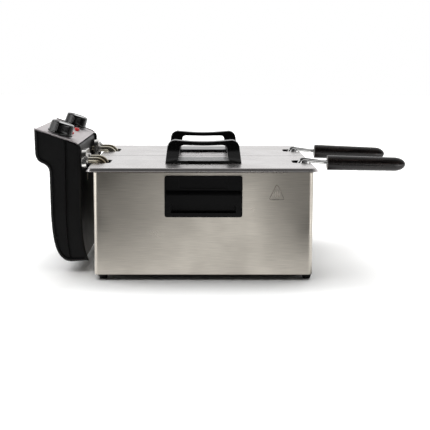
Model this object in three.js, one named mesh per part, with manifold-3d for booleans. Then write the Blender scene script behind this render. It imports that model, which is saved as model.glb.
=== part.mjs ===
// Twin deep fryer: a steel casing with two lift-out oil tanks, two baskets with long handles, two lids,
// and one removable control head that carries both heating elements, thermostats and knobs.
// Millimetres, +Z up. +X points along the basket handles, the control head hangs at -X, and the two tanks
// lie side by side along Y: "left" is the tank at -Y and "right" the one at +Y. Everything is laid out
// about the middle of the casing, and the last lines move the whole fryer so that its origin is the
// middle of its outline on the worktop.
import * as THREE from "three";
import { mergeVertices } from "three/addons/utils/BufferGeometryUtils.js";
import Module from "manifold-3d";

const wasm = await Module();
wasm.setup();

// ---------------------------------------------------------------- driving dimensions
const GAP = 0.4; // left between pieces that rest on each other
const SHEET = 1; // steel sheet of the casing, tanks and lids
const PAST = 5; // how far a cutting solid runs past what it cuts

// Casing
const CASING_LENGTH = 300; // along X
const CASING_WIDTH = 344; // along Y
const CASING_TOP = 150; // height of its rim above the worktop
const CASING_CORNER = 6;
const HEM_WIDTH = 22; // inward hem under the base plate, which the feet sit on
const BASE_SLOTS_PER_TANK = 3;
const BASE_SLOT_LENGTH = 60;
const BASE_SLOT_WIDTH = 6;
const BASE_SLOT_PITCH = 78;
const HEAD_END = -CASING_LENGTH / 2; // X of the end wall the control head hangs on
const HANDLE_END = CASING_LENGTH / 2; // X of the end wall under the basket handles

// Feet
const FOOT_HEIGHT = 7;
const FOOT_TOP_RADIUS = 6.8;
const FOOT_BOTTOM_RADIUS = 5.2;
const FOOT_INSET_X = 8.8;
const FOOT_INSET_Y = 14;
const FOOT_SHIFT_X = 2.2; // the feet stand a little towards the handle end

// Carry handles, one on each long side, hung from the casing's rim
const CARRY_WIDTH = 106;
const CARRY_HEIGHT = 56.5;
const CARRY_PLATE = 2.2;
const CARRY_CORNER = 3;
const CARRY_TOP = CASING_TOP - 5.5;
const CARRY_BOTTOM = CARRY_TOP - CARRY_HEIGHT;
const CARRY_REACH = 11.5; // how far the pull stands out from the casing
const CARRY_PULL_WIDTH = CARRY_WIDTH - 4;
const CARRY_PULL_ROOT = CARRY_TOP - 18.5;
const CARRY_PULL_TOP = CARRY_PULL_ROOT - 5.4;
const CARRY_PULL_BOTTOM = CARRY_PULL_TOP - 14.8;
const CARRY_PULL_WALL = 2.6;
const CARRY_PULL_EDGE = 1.5;
const CARRY_POCKET_WIDTH = CARRY_WIDTH - 18;
const CARRY_POCKET_BOTTOM = CARRY_BOTTOM + 6;
const CARRY_POCKET_DEPTH = 8; // behind the casing's wall
const CARRY_RECESS_WIDTH = CARRY_WIDTH - 39.4;
const CARRY_RECESS_BOTTOM = CARRY_PULL_ROOT + 2;
const CARRY_RECESS_TOP = CARRY_TOP - 3.5;
const CARRY_RECESS_DEPTH = 1.2;

// Tanks
const TANK_END_GAP = 4; // from the casing's end wall to the tank's mouth
const TANK_SPACING = 30; // between the two mouths
const TANK_PITCH = CASING_WIDTH / 2 + 4; // between the two tanks' middles
const TANK_LENGTH = CASING_LENGTH - 2 * TANK_END_GAP;
const TANK_WIDTH = TANK_PITCH - TANK_SPACING;
const TANK_CORNER = 34; // outside, at the mouth
const TANK_FLOOR = 22;
const WELL_HEIGHT = 22; // of the sloping cold zone
const WELL_INSET = 26;
const FLANGE_OVERHANG = 0.5; // past the casing's edge
const RAIL_HALF_WIDTH = 10;
const RAIL_DEPTH = 12;

// Control head, an outline in X and Z carried along Y
const HEAD_STANDOFF = 22.4; // from the casing's end wall to its front
const HEAD_DEPTH = 65.1; // of its top part
const HEAD_WAIST_STEP = 20.5; // how much thinner it is below
const HEAD_WIDTH = TANK_PITCH + 56.8;
const HEAD_WALL = 2.5;
const HEAD_EDGE = 3; // rounding of the sides' edges
const HEAD_FRONT = HEAD_END - HEAD_STANDOFF;
const HEAD_REAR = HEAD_FRONT - HEAD_DEPTH;
const HEAD_WAIST = HEAD_REAR + HEAD_WAIST_STEP;
const HEAD_PARTING = HEAD_FRONT - 22;
const HEAD_SLOPE_END = HEAD_FRONT - 14.5;
const HEAD_SOLE = HEAD_FRONT - 15.6; // X where the rounded back meets the underside
const HEAD_HEEL = HEAD_FRONT + 9.1;
const HEAD_TOP_REAR = CASING_TOP + 55.4;
const HEAD_TOP_FRONT = HEAD_TOP_REAR - 16.7;
const HEAD_SHOULDER = HEAD_TOP_REAR - 33.9; // the top part's straight back ends here
const HEAD_NECK = HEAD_TOP_REAR - 64.4; // and the thinner part's begins
const HEAD_BOTTOM = 14.5;
const HEAD_BELLY = HEAD_BOTTOM + 67.5; // height where the back begins to curve in
const PANEL_THICKNESS = 2.4;

// Head bracket on the casing's end wall, and the hook on the head that drops into it
const BRACKET_REACH = 10.6;
const BRACKET_HALF_WIDTH = 42;
const BRACKET_WING = 10;
const BRACKET_TOP = CASING_TOP - 10;
const BRACKET_BOTTOM = BRACKET_TOP - 40;
const HOOK_HALF_WIDTH = 30;
const HOOK_DROP = 25;
const HOOK_THICKNESS = 2.8;
const HOOK_LIFT = 1.5; // of its arm above the bracket

// Heating elements
const TUBE_RADIUS = 3.25;
const TUBE_LEG_SPACING = (TANK_WIDTH * 34) / 146;
const TUBE_EXIT_HEIGHT = CASING_TOP + 10;
const TUBE_DROP_X = HEAD_END + TANK_END_GAP + 7;
const TUBE_BEND = 13;
const TUBE_LOOP_HEIGHT = TANK_FLOOR + 18;
const TUBE_LOOP_START = TUBE_DROP_X + 2 * TUBE_BEND + 1;
const TUBE_LOOP_TURN = TUBE_LOOP_START + 24;
const TUBE_LOOP_END = HANDLE_END - TANK_END_GAP - 38;
const TUBE_LOOP_HALF_WIDTH = (TANK_WIDTH * 50) / 146;
const TUBE_TAIL = 8; // inside the head
const MOUNT_HALF_WIDTH = TUBE_LEG_SPACING / 2 + 8;
const MOUNT_BOTTOM = TUBE_EXIT_HEIGHT - 12.4;
const MOUNT_TOP = TUBE_EXIT_HEIGHT + 13.2;
const MOUNT_DEPTH = 6.6;
const MOUNT_CORNER = 8;
const MOUNT_FACE = 1.4; // thickness of its front
const MOUNT_LIP = 3; // how far it overlaps the head's window

// Thermostats, their bulbs, and the overheat cut-outs
const CAPILLARY_RADIUS = 1.3;
const CAPILLARY_HEIGHT = TUBE_EXIT_HEIGHT - 5.6;
const CAPILLARY_BEND = 8;
const BULB_RADIUS = 3;
const BULB_X = TUBE_DROP_X - 1.5;
const BULB_TOP = CASING_TOP - 32;
const BULB_BOTTOM = TANK_FLOOR + 34;
const THERMOSTAT_SIZE = 32;
const THERMOSTAT_DEPTH = 18;
const THERMOSTAT_NECK = 3;
const SPINDLE_HOLE = 9; // into the thermostat
const CUTOUT_RADIUS = 9;
const CUTOUT_DEPTH = 11;
const RESET_Y = TANK_PITCH / 2 - 42;
const RESET_HEIGHT = HEAD_TOP_REAR - 19.4;
const RESET_RADIUS = 3.6;
const RESET_TRAVEL = 2;
const RESET_SETBACK = 0.5; // of its face behind the head's back
const RESET_PLAY = 1.2; // between its flange and the wall
const RESET_FLANGE = 1.6;

// Terminal block and interlock switch inside the head
const TERMINAL_HALF_WIDTH = 26;
const TERMINAL_BOTTOM = HEAD_BOTTOM + 25.5;
const TERMINAL_HEIGHT = 16;
const SWITCH_DEPTH = 12;
const SWITCH_HALF_WIDTH = 10;
const SWITCH_TOP = BRACKET_TOP - 4;
const SWITCH_HEIGHT = 18;

// Knobs and lamps
const KNOB_RADIUS = 18.25;
const KNOB_HEIGHT = 17.4;
const KNOB_SKIRT = 3.2;
const KNOB_LIFT = 0.6; // of the skirt above the panel
const SPINDLE_RADIUS = 3;
const SPINDLE_FIT = 0.6;
const SPINDLE_REACH = 8; // past the panel, into the thermostat
const LAMP_RADIUS = 4.4;
const LAMP_HEIGHT = 3.6;
const LAMP_STEM = 6; // below the panel
const LAMP_Y = TANK_PITCH / 2 - 52;
const LAMP_ALONG = 10; // down the slope from the knobs' line

// Cord glands
const GLAND_RADIUS = 7.6;
const GLAND_BORE = 3.8;
const GLAND_FLANGE = 2.4;
const GLAND_FLANGE_DEPTH = 2.5;
const GLAND_HEIGHT = HEAD_BOTTOM + 89.5;
const GLAND_Y = TANK_PITCH / 2 - 30;

// Baskets
const BASKET_START = HEAD_END + TANK_END_GAP + 20;
const BASKET_END = HANDLE_END - TANK_END_GAP - 18;
const BASKET_WIDTH = TANK_WIDTH - 22;
const BASKET_BOTTOM = TANK_FLOOR + 30;
const BASKET_TOP = CASING_TOP - 10;
const BASKET_CORNER = 24;
const BASKET_WALL = 1.2;
const RIM_WIRE = 4;
const DRAIN_HOOK_HALF_WIDTH = 9;
const DRAIN_HOOK_REACH = 6;
const DRAIN_HOOK_TOP = BASKET_TOP - 6;
const DRAIN_HOOK_LIP = 12;
const DRAIN_HOOK_HEIGHT = 20;

// Basket handles
const WIRE_RADIUS = 2.1;
const WIRE_SPACING = 29; // between the two legs at the lid
const WIRE_SPACING_GRIP = 15; // where they enter the grip
const WIRE_X = BASKET_END + 7.6;
const WIRE_BOTTOM = BASKET_TOP - 40;
const WIRE_RISE = CASING_TOP - 2;
const WIRE_KNEE_X = WIRE_X + 6.4;
const WIRE_KNEE_Z = CASING_TOP + 8.6;
const WIRE_BEND = 5;
const BRACKET_PLATE = 1.6;
const BRACKET_PLATE_HALF_WIDTH = WIRE_SPACING / 2 + 6.5;
const BRACKET_PLATE_TOP = BASKET_TOP - 6;
const BRACKET_SHELF = 2;
const GRIP_START = HANDLE_END + 27.7;
const GRIP_LENGTH = 112.6;
const GRIP_HEIGHT = CASING_TOP + 4.2;
const GRIP_RADIUS = 10.65;
const GRIP_TAPER = 0.75; // less radius at the far end
const GRIP_EDGE = 1.5;
const GRIP_NOSE = 14;
const GRIP_DROOP = { left: 1.2, right: 2 }; // degrees
const GRIP_PIN_RADIUS = 2.2;
const GRIP_PIN_DEPTH = 6;
const WIRE_BEFORE_GRIP = 6; // the legs are at the grip's spacing from here
const WIRE_END = GRIP_START + 25.3;
const WIRE_ENTRY = GRIP_HEIGHT + 1; // heights of the wire at the grip's mouth and at its own end
const WIRE_END_HEIGHT = GRIP_HEIGHT + 0.4;

// Lids
const LID_TOP = CASING_TOP + 5.5;
const LID_SKIRT = 4.5; // height of the sloping skirt
const LID_FLARE = 4;
const LID_HEAD_END = HEAD_END - 6; // X of the top face's edge at the head
const LID_HANDLE_END = HANDLE_END + 2;
const LID_OVERHANG_Y = 4; // of the top face past the casing's long side
const LID_MIDDLE_GAP = 2; // between the two lids
const LID_CORNER = 6;
const LID_COLLAR_CLEARANCE = 2; // to the tank's mouth
const LID_COLLAR_DEPTH = 11;
const TUBE_NOTCH_END = TUBE_DROP_X + 7;
const TUBE_NOTCH_HALF_WIDTH = TUBE_LEG_SPACING / 2 + 8;
const WIRE_NOTCH_END = WIRE_X - 8.6;
const WIRE_NOTCH_HALF_WIDTH = WIRE_SPACING / 2 + 5;
const NOTCH_CORNER = 7;

// Lid handles
const BRIDGE_LENGTH = 107.4; // along X, at the base
const BRIDGE_SHOULDER_HEIGHT = 31;
const BRIDGE_POST_HEIGHT = BRIDGE_SHOULDER_HEIGHT - 10; // up to where the shoulders begin
const BRIDGE_POST_LEAN = 2.2;
const BRIDGE_LEG_NARROW = BRIDGE_SHOULDER_HEIGHT - 14.7; // the legs have drawn in along Y by this height
const BRIDGE_SHOULDER_X = BRIDGE_LENGTH / 2 - 12.7;
const BRIDGE_SAG = 2.4; // of the top bar's middle below the shoulders
const BRIDGE_BASE = 3.5;
const BRIDGE_BAR_UNDERSIDE = BRIDGE_SHOULDER_HEIGHT - 7.2;
const BRIDGE_WINDOW_FOOT = BRIDGE_LENGTH - 36;
const BRIDGE_WINDOW_HEAD = BRIDGE_LENGTH - 41.4;
const BRIDGE_WINDOW_CORNER = 4.5;
const BRIDGE_BASE_DEPTH = 58; // along Y
const BRIDGE_TOP_DEPTH = 19;
const LID_SCREW_X = BRIDGE_LENGTH / 2 - 9.7;
const LID_SCREW_RADIUS = 2;
const LID_SCREW_HEAD_RADIUS = 4;
const LID_SCREW_HEAD = 2;
const LID_SCREW_REACH = 7; // above the lid, into the handle
const LID_SCREW_HOLE = 8;

// ---------------------------------------------------------------- shapes
const X = new THREE.Vector3(1, 0, 0);
const Y = new THREE.Vector3(0, 1, 0);
const Z = new THREE.Vector3(0, 0, 1);

// How a flat outline's own x, y and depth lie in the fryer's axes.
const LIE = {
  z: new THREE.Matrix4(),
  y: new THREE.Matrix4().makeBasis(X, Z, Y.clone().negate()),
  x: new THREE.Matrix4().makeBasis(Y, Z, X),
};

function solid(geometry) {
  const bare = geometry.index ? geometry.toNonIndexed() : geometry.clone();
  bare.deleteAttribute("normal");
  bare.deleteAttribute("uv");
  const merged = mergeVertices(bare, 1e-4);
  return new wasm.Manifold(
    new wasm.Mesh({
      numProp: 3,
      vertProperties: new Float32Array(merged.attributes.position.array),
      triVerts: new Uint32Array(merged.index.array),
    }),
  );
}

function joined(...solids) {
  return solids.reduce((all, next) => all.add(next));
}

function cut(from, ...solids) {
  return solids.reduce((left, next) => left.subtract(next), from);
}

function box(x0, x1, y0, y1, z0, z1) {
  const g = new THREE.BoxGeometry(Math.abs(x1 - x0), Math.abs(y1 - y0), Math.abs(z1 - z0));
  return solid(g.translate((x0 + x1) / 2, (y0 + y1) / 2, (z0 + z1) / 2));
}

// An outline carried along one axis, with its edges at both ends rounded or sloped by `edge` where that
// is given.
function prism(along, outline, from, to, { smooth = 2, edge = 0, steps = 1, inset = 0 } = {}) {
  const g = new THREE.ExtrudeGeometry(outline, {
    depth: to - from - 2 * edge,
    curveSegments: smooth,
    bevelEnabled: edge > 0 || inset > 0,
    bevelThickness: edge,
    bevelSize: edge,
    bevelOffset: -edge - inset,
    bevelSegments: steps,
  });
  g.translate(0, 0, along === "y" ? edge - to : edge + from);
  return solid(g.applyMatrix4(LIE[along]));
}

// The same, with both ends drawn in by a slope of its own run and height.
function sloped(outline, from, to, run, height, inset = 0, smooth = 2) {
  const g = new THREE.ExtrudeGeometry(outline, {
    depth: to - from - 2 * height,
    curveSegments: smooth,
    bevelThickness: height,
    bevelSize: run,
    bevelOffset: -inset,
    bevelSegments: 1,
  });
  return solid(g.translate(0, 0, from + height));
}

function roundedBox(x0, x1, y0, y1, radius) {
  const [left, right] = [Math.min(x0, x1), Math.max(x0, x1)];
  const [low, high] = [Math.min(y0, y1), Math.max(y0, y1)];
  const shape = new THREE.Shape();
  shape.absarc(right - radius, high - radius, radius, 0, Math.PI / 2);
  shape.absarc(left + radius, high - radius, radius, Math.PI / 2, Math.PI);
  shape.absarc(left + radius, low + radius, radius, Math.PI, 1.5 * Math.PI);
  shape.absarc(right - radius, low + radius, radius, 1.5 * Math.PI, 2 * Math.PI);
  return shape;
}

function polygon(points) {
  return new THREE.Shape(points.map(([x, y]) => new THREE.Vector2(x, y)));
}

function round(radius, x = 0, y = 0) {
  return new THREE.Shape().absarc(x, y, radius, 0, 2 * Math.PI);
}

// A turned piece: [radius, height] pairs about the Z axis, then placed by a matrix.
function turned(profile, matrix, segments = 24) {
  const points = profile.map(([r, h]) => new THREE.Vector2(r, h));
  const g = new THREE.LatheGeometry(points, segments).rotateX(Math.PI / 2);
  return solid(g.applyMatrix4(matrix));
}

function at(x, y, z) {
  return new THREE.Matrix4().makeTranslation(x, y, z);
}

function pointing(axis, x, y, z) {
  const turn = new THREE.Quaternion().setFromUnitVectors(Z, axis.clone().normalize());
  return at(x, y, z).multiply(new THREE.Matrix4().makeRotationFromQuaternion(turn));
}

// A bar bent at each corner of its route: straight stretches joined by arcs. Its points are the ends of the
// straights and the steps round each bend, so a long straight costs one step.
class BentBar extends THREE.Curve {
  constructor(corners, radius, stepsPerBend) {
    super();
    const route = corners.map((c) => new THREE.Vector3(...c));
    const way = (i) => route[i + 1].clone().sub(route[i]).normalize();
    this.points = [route[0]];
    this.ways = [way(0)];
    for (let i = 1; i < route.length - 1; i++) {
      const into = way(i - 1);
      const out = way(i);
      const angle = into.angleTo(out);
      const side = out.clone().addScaledVector(into, -Math.cos(angle)).normalize();
      const start = route[i].clone().addScaledVector(into, -radius * Math.tan(angle / 2));
      for (let k = 0; k <= stepsPerBend; k++) {
        const a = (angle * k) / stepsPerBend;
        const p = start.clone().addScaledVector(into, radius * Math.sin(a));
        this.points.push(p.addScaledVector(side, radius * (1 - Math.cos(a))));
        this.ways.push(into.clone().multiplyScalar(Math.cos(a)).addScaledVector(side, Math.sin(a)));
      }
    }
    this.points.push(route.at(-1));
    this.ways.push(way(route.length - 2));
  }

  getPointAt(u) {
    return this.points[Math.round(u * (this.points.length - 1))].clone();
  }

  getTangentAt(u) {
    return this.ways[Math.round(u * (this.ways.length - 1))].clone();
  }
}

function bent(corners, radius, thickness, { sides = 4, steps = 4 } = {}) {
  const bar = new BentBar(corners, radius, steps);
  const g = new THREE.ExtrudeGeometry(round(thickness), {
    steps: bar.points.length - 1,
    curveSegments: sides,
    bevelEnabled: false,
    extrudePath: bar,
  });
  return solid(g);
}

// ---------------------------------------------------------------- materials
const surface = (color, roughness, metalness = 0) =>
  new THREE.MeshStandardMaterial({ color, roughness, metalness });
const BRUSHED = surface(0xb4ada0, 0.38, 0.9);
const LID_STEEL = surface(0xd8d4d0, 0.28, 0.95);
const ENAMEL = surface(0x2b2c2e, 0.35, 0.1);
const GALVANISED = surface(0x9a9c9e, 0.5, 0.8);
const BRIGHT = surface(0xdddddd, 0.2, 0.95);
const NICKEL = surface(0xa59c80, 0.35, 0.9);
const BLACK = surface(0x141415, 0.42);
const GLOSS_BLACK = surface(0x0c0c0d, 0.15);
const GRIP_BLACK = surface(0x1b1615, 0.45);
const PANEL_GREY = surface(0x6f6a6b, 0.4, 0.2);
const RUBBER = surface(0x111111, 0.85);
const RED = surface(0xc81e12, 0.2);
const CREAM = surface(0xd8d0bc, 0.6);

const fryer = new THREE.Group();

function add(name, shape, material) {
  const { numProp, vertProperties, triVerts } = shape.getMesh();
  const points = new Float32Array((vertProperties.length / numProp) * 3);
  for (let i = 0; i < points.length / 3; i++)
    points.set(vertProperties.subarray(i * numProp, i * numProp + 3), i * 3);
  const g = new THREE.BufferGeometry();
  g.setAttribute("position", new THREE.BufferAttribute(points, 3));
  g.setIndex(new THREE.BufferAttribute(new Uint32Array(triVerts), 1));
  const mesh = new THREE.Mesh(g, material);
  mesh.name = name;
  fryer.add(mesh);
}

const SIDES = [
  { name: "left", sign: -1 },
  { name: "right", sign: 1 },
];

// ---------------------------------------------------------------- casing
const HALF_LENGTH = CASING_LENGTH / 2;
const HALF_WIDTH = CASING_WIDTH / 2;
const MOUTH_X = TANK_LENGTH / 2 + GAP;
const MOUTH_Y = (TANK_PITCH + TANK_WIDTH) / 2 + GAP;
const HEM_TOP = FOOT_HEIGHT + SHEET;

function casingOutline(inset) {
  const radius = Math.max(CASING_CORNER - inset, 1);
  const [x, y] = [HALF_LENGTH - inset, HALF_WIDTH - inset];
  return roundedBox(-x, x, -y, y, radius);
}

function casingShell() {
  const outside = prism("z", casingOutline(0), FOOT_HEIGHT, CASING_TOP, { smooth: 3 });
  const inside = prism("z", casingOutline(SHEET), HEM_TOP, CASING_TOP - SHEET, { smooth: 3 });
  const hemHole = prism("z", casingOutline(HEM_WIDTH), FOOT_HEIGHT - PAST, HEM_TOP + PAST);
  const mouth = box(-MOUTH_X, MOUTH_X, -MOUTH_Y, MOUTH_Y, CASING_TOP - PAST, CASING_TOP + PAST);
  const half = CARRY_POCKET_WIDTH / 2 + SHEET + GAP;
  const windows = box(
    -half,
    half,
    -HALF_WIDTH - PAST,
    HALF_WIDTH + PAST,
    CARRY_POCKET_BOTTOM - SHEET - GAP,
    CARRY_PULL_ROOT,
  );
  return cut(outside, inside, hemHole, mouth, windows);
}

function basePlate() {
  const low = HEM_TOP + GAP;
  const plate = prism("z", casingOutline(SHEET + GAP), low, low + SHEET);
  const slots = SIDES.flatMap(({ sign }) =>
    Array.from({ length: BASE_SLOTS_PER_TANK }, (_, i) => {
      const x = (i - (BASE_SLOTS_PER_TANK - 1) / 2) * BASE_SLOT_PITCH;
      const y = (sign * TANK_PITCH) / 2;
      const [dx, dy] = [BASE_SLOT_LENGTH / 2, BASE_SLOT_WIDTH / 2];
      return box(x - dx, x + dx, y - dy, y + dy, low - PAST, low + PAST);
    }),
  );
  return cut(plate, ...slots);
}

function foot(x, y) {
  const profile = [
    [0, 0],
    [FOOT_BOTTOM_RADIUS, 0],
    [FOOT_TOP_RADIUS, FOOT_HEIGHT - GAP],
    [0, FOOT_HEIGHT - GAP],
  ];
  return turned(profile, at(x, y, 0), 16);
}

// A cup pull: a plate on the casing, a hood that stands out from it, and a pocket behind for the fingers.
function carryHandle(sign) {
  const face = HALF_WIDTH + GAP;
  const front = face + CARRY_PLATE;
  const tip = HALF_WIDTH + CARRY_REACH;
  const half = CARRY_WIDTH / 2;
  const pull = CARRY_PULL_WIDTH / 2;
  const plate = prism("y", roundedBox(-half, half, CARRY_BOTTOM, CARRY_TOP, CARRY_CORNER), face, front);
  const hoodOutline = polygon([
    [face, CARRY_PULL_ROOT],
    [face, CARRY_PULL_BOTTOM],
    [tip, CARRY_PULL_BOTTOM],
    [tip, CARRY_PULL_TOP - CARRY_PULL_EDGE],
    [tip - CARRY_PULL_EDGE, CARRY_PULL_TOP],
  ]);
  const wall = CARRY_PULL_WALL;
  const hollowOutline = polygon([
    [face - PAST, CARRY_PULL_TOP - wall],
    [face - PAST, CARRY_PULL_BOTTOM - PAST],
    [tip - wall, CARRY_PULL_BOTTOM - PAST],
    [tip - wall, CARRY_PULL_TOP - wall - 1],
    [tip - wall - 1, CARRY_PULL_TOP - wall],
  ]);
  const pocket = CARRY_POCKET_WIDTH / 2;
  const back = HALF_WIDTH - CARRY_POCKET_DEPTH;
  const pocketTop = CARRY_PULL_TOP - wall;
  const cup = box(
    -pocket - SHEET,
    pocket + SHEET,
    back,
    face + CARRY_PLATE / 2,
    CARRY_POCKET_BOTTOM - SHEET,
    pocketTop + SHEET,
  );
  const hood = prism("x", hoodOutline, -pull, pull);
  const hollow = prism("x", hollowOutline, -pocket, pocket);
  const finger = box(-pocket, pocket, back + SHEET, tip - wall, CARRY_POCKET_BOTTOM, pocketTop);
  const below = box(-pull - PAST, pull + PAST, front, tip + PAST, CARRY_BOTTOM - PAST, CARRY_PULL_BOTTOM);
  const recess = box(
    -CARRY_RECESS_WIDTH / 2,
    CARRY_RECESS_WIDTH / 2,
    front - CARRY_RECESS_DEPTH,
    front + PAST,
    CARRY_RECESS_BOTTOM,
    CARRY_RECESS_TOP,
  );
  const right = cut(joined(plate, hood, cup), hollow, finger, below, recess);
  return sign > 0 ? right : right.rotate([0, 0, 180]);
}

// Carries the tanks' inner flanges: a channel between the casing's end walls.
function centreRail() {
  const reach = HALF_LENGTH - SHEET - GAP;
  const under = CASING_TOP - SHEET - GAP;
  const top = box(
    -MOUTH_X + GAP,
    MOUTH_X - GAP,
    -RAIL_HALF_WIDTH,
    RAIL_HALF_WIDTH,
    CASING_TOP - 2 * SHEET,
    CASING_TOP,
  );
  const webs = SIDES.map(({ sign }) =>
    box(
      -reach,
      reach,
      sign * (RAIL_HALF_WIDTH - SHEET),
      sign * RAIL_HALF_WIDTH,
      CASING_TOP - RAIL_DEPTH,
      under,
    ),
  );
  return joined(top, ...webs);
}

// An upward-open pocket on the casing's end wall.
function headBracket() {
  const wall = -HALF_LENGTH - GAP;
  const front = wall - BRACKET_REACH;
  const half = BRACKET_HALF_WIDTH;
  const wing = half + BRACKET_WING;
  const outside = box(front, wall, -half, half, BRACKET_BOTTOM, BRACKET_TOP);
  const inside = box(
    front + SHEET,
    wall + PAST,
    -half + SHEET,
    half - SHEET,
    BRACKET_BOTTOM + SHEET,
    BRACKET_TOP + PAST,
  );
  const wings = box(wall - SHEET, wall, -wing, wing, BRACKET_BOTTOM, BRACKET_TOP);
  return joined(cut(outside, inside), wings);
}

// ---------------------------------------------------------------- tanks
const FLANGE_BOTTOM = CASING_TOP + GAP;
const FLANGE_TOP = FLANGE_BOTTOM + SHEET;

function tank(sign) {
  const y = (sign * TANK_PITCH) / 2;
  const [halfX, halfY] = [TANK_LENGTH / 2, TANK_WIDTH / 2];
  const wellX = halfX - WELL_INSET;
  const wellY = halfY - WELL_INSET;
  const well = roundedBox(-wellX, wellX, y - wellY, y + wellY, TANK_CORNER - WELL_INSET);
  const high = FLANGE_TOP + WELL_HEIGHT + PAST;
  const outside = sloped(well, TANK_FLOOR, high, WELL_INSET, WELL_HEIGHT);
  const inside = sloped(well, TANK_FLOOR + SHEET, high + SHEET, WELL_INSET, WELL_HEIGHT, SHEET);
  const above = box(-CASING_LENGTH, CASING_LENGTH, -CASING_WIDTH, CASING_WIDTH, FLANGE_TOP, high + PAST);
  const flangeX = HALF_LENGTH + FLANGE_OVERHANG;
  const flange = prism(
    "z",
    roundedBox(
      -flangeX,
      flangeX,
      sign * (LID_MIDDLE_GAP / 2 + SHEET + GAP),
      sign * (HALF_WIDTH + FLANGE_OVERHANG),
      CASING_CORNER,
    ),
    FLANGE_BOTTOM,
    FLANGE_TOP,
    { smooth: 3 },
  );
  return cut(joined(outside, flange), above, inside);
}

// ---------------------------------------------------------------- lids
const LID_INSIDE = LID_TOP - SHEET;
const LID_BOTTOM = LID_TOP - LID_SKIRT;

function lid(sign) {
  const y = (sign * TANK_PITCH) / 2;
  const edge = sign * (HALF_WIDTH + LID_OVERHANG_Y);
  const face = roundedBox(LID_HEAD_END, LID_HANDLE_END, -sign * 2 * LID_CORNER, edge, LID_CORNER);
  const low = LID_BOTTOM - LID_SKIRT - PAST;
  const outside = sloped(face, low, LID_TOP, LID_FLARE, LID_SKIRT, 0, 3);
  const inside = sloped(face, low - SHEET, LID_INSIDE, LID_FLARE, LID_SKIRT, SHEET, 3);
  const far = CASING_LENGTH;
  const below = box(-far, far, -far, far, low - 2 * PAST, LID_BOTTOM);
  const beyond = (gap) => box(-far, far, sign * gap, -sign * far, low - 2 * PAST, LID_TOP + PAST);
  const middle = LID_MIDDLE_GAP / 2;
  const hollow = cut(inside, beyond(middle + SHEET));
  const inward = SHEET + LID_COLLAR_CLEARANCE;
  const collarX = TANK_LENGTH / 2 - inward;
  const collarY = TANK_WIDTH / 2 - inward;
  const ring = (inset, from, to) =>
    prism(
      "z",
      roundedBox(
        -collarX + inset,
        collarX - inset,
        y - collarY + inset,
        y + collarY - inset,
        TANK_CORNER - inward - inset,
      ),
      from,
      to,
    );
  const collarLow = LID_INSIDE - LID_COLLAR_DEPTH;
  const collar = cut(ring(0, collarLow, LID_INSIDE + SHEET / 2), ring(SHEET, collarLow - PAST, LID_INSIDE));
  const notch = (from, to, half) =>
    prism(
      "z",
      roundedBox(from, to, y - half, y + half, NOTCH_CORNER),
      collarLow - PAST,
      LID_TOP + PAST,
    );
  const reach = 2 * LID_FLARE + NOTCH_CORNER;
  const notches = [
    notch(LID_HEAD_END - reach, TUBE_NOTCH_END, TUBE_NOTCH_HALF_WIDTH),
    notch(WIRE_NOTCH_END, LID_HANDLE_END + reach, WIRE_NOTCH_HALF_WIDTH),
  ];
  const screwHoles = [-1, 1].map((end) =>
    prism("z", round(LID_SCREW_RADIUS + GAP, end * LID_SCREW_X, y), LID_INSIDE - PAST, LID_TOP + PAST, {
      smooth: 4,
    }),
  );
  const shell = cut(outside, below, beyond(middle), hollow);
  return cut(joined(shell, collar), ...notches, ...screwHoles);
}

// A bridge handle: an arch along X, trimmed by the outline of its legs along Y.
function lidHandle(sign) {
  const y = (sign * TANK_PITCH) / 2;
  const base = LID_TOP + GAP;
  const up = (height) => base + height;
  const foot = BRIDGE_LENGTH / 2;
  const post = foot - BRIDGE_POST_LEAN;
  const shoulder = up(BRIDGE_SHOULDER_HEIGHT);
  const arch = new THREE.Shape();
  arch.moveTo(-foot, base);
  arch.lineTo(foot, base);
  arch.lineTo(post, up(BRIDGE_POST_HEIGHT));
  arch.quadraticCurveTo(post - 1.2, shoulder - 1.6, BRIDGE_SHOULDER_X, shoulder);
  arch.quadraticCurveTo(0, shoulder - 2 * BRIDGE_SAG, -BRIDGE_SHOULDER_X, shoulder);
  arch.quadraticCurveTo(-post + 1.2, shoulder - 1.6, -post, up(BRIDGE_POST_HEIGHT));
  const [low, high] = [up(BRIDGE_BASE), up(BRIDGE_BAR_UNDERSIDE)];
  const window = new THREE.Path();
  window.moveTo(-BRIDGE_WINDOW_FOOT / 2, low);
  const [head, corner] = [BRIDGE_WINDOW_HEAD / 2, BRIDGE_WINDOW_CORNER];
  window.lineTo(-head, high - corner);
  window.quadraticCurveTo(-head, high, -head + corner, high);
  window.lineTo(head - corner, high);
  window.quadraticCurveTo(head, high, head, high - corner);
  window.lineTo(BRIDGE_WINDOW_FOOT / 2, low);
  arch.holes.push(window);
  const wide = BRIDGE_BASE_DEPTH / 2;
  const narrow = BRIDGE_TOP_DEPTH / 2;
  const trim = (side) => [
    [y + side * wide, up(0)],
    [y + side * wide, up(BRIDGE_BASE - 1)],
    [y + side * (wide - 3), up(BRIDGE_BASE)],
    [y + side * (narrow + 3.5), up(BRIDGE_LEG_NARROW)],
    [y + side * narrow, up(BRIDGE_BAR_UNDERSIDE)],
    [y + side * (narrow - 1), shoulder + PAST],
  ];
  const legs = polygon([...trim(1), ...trim(-1).reverse()]);
  const holes = [-1, 1].map((end) =>
    prism("z", round(LID_SCREW_RADIUS + GAP, end * LID_SCREW_X, y), base - PAST, up(LID_SCREW_HOLE), {
      smooth: 4,
    }),
  );
  return cut(
    prism("y", arch, y - wide, y + wide, { smooth: 6 }).intersect(prism("x", legs, -foot - PAST, foot + PAST)),
    ...holes,
  );
}

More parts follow.
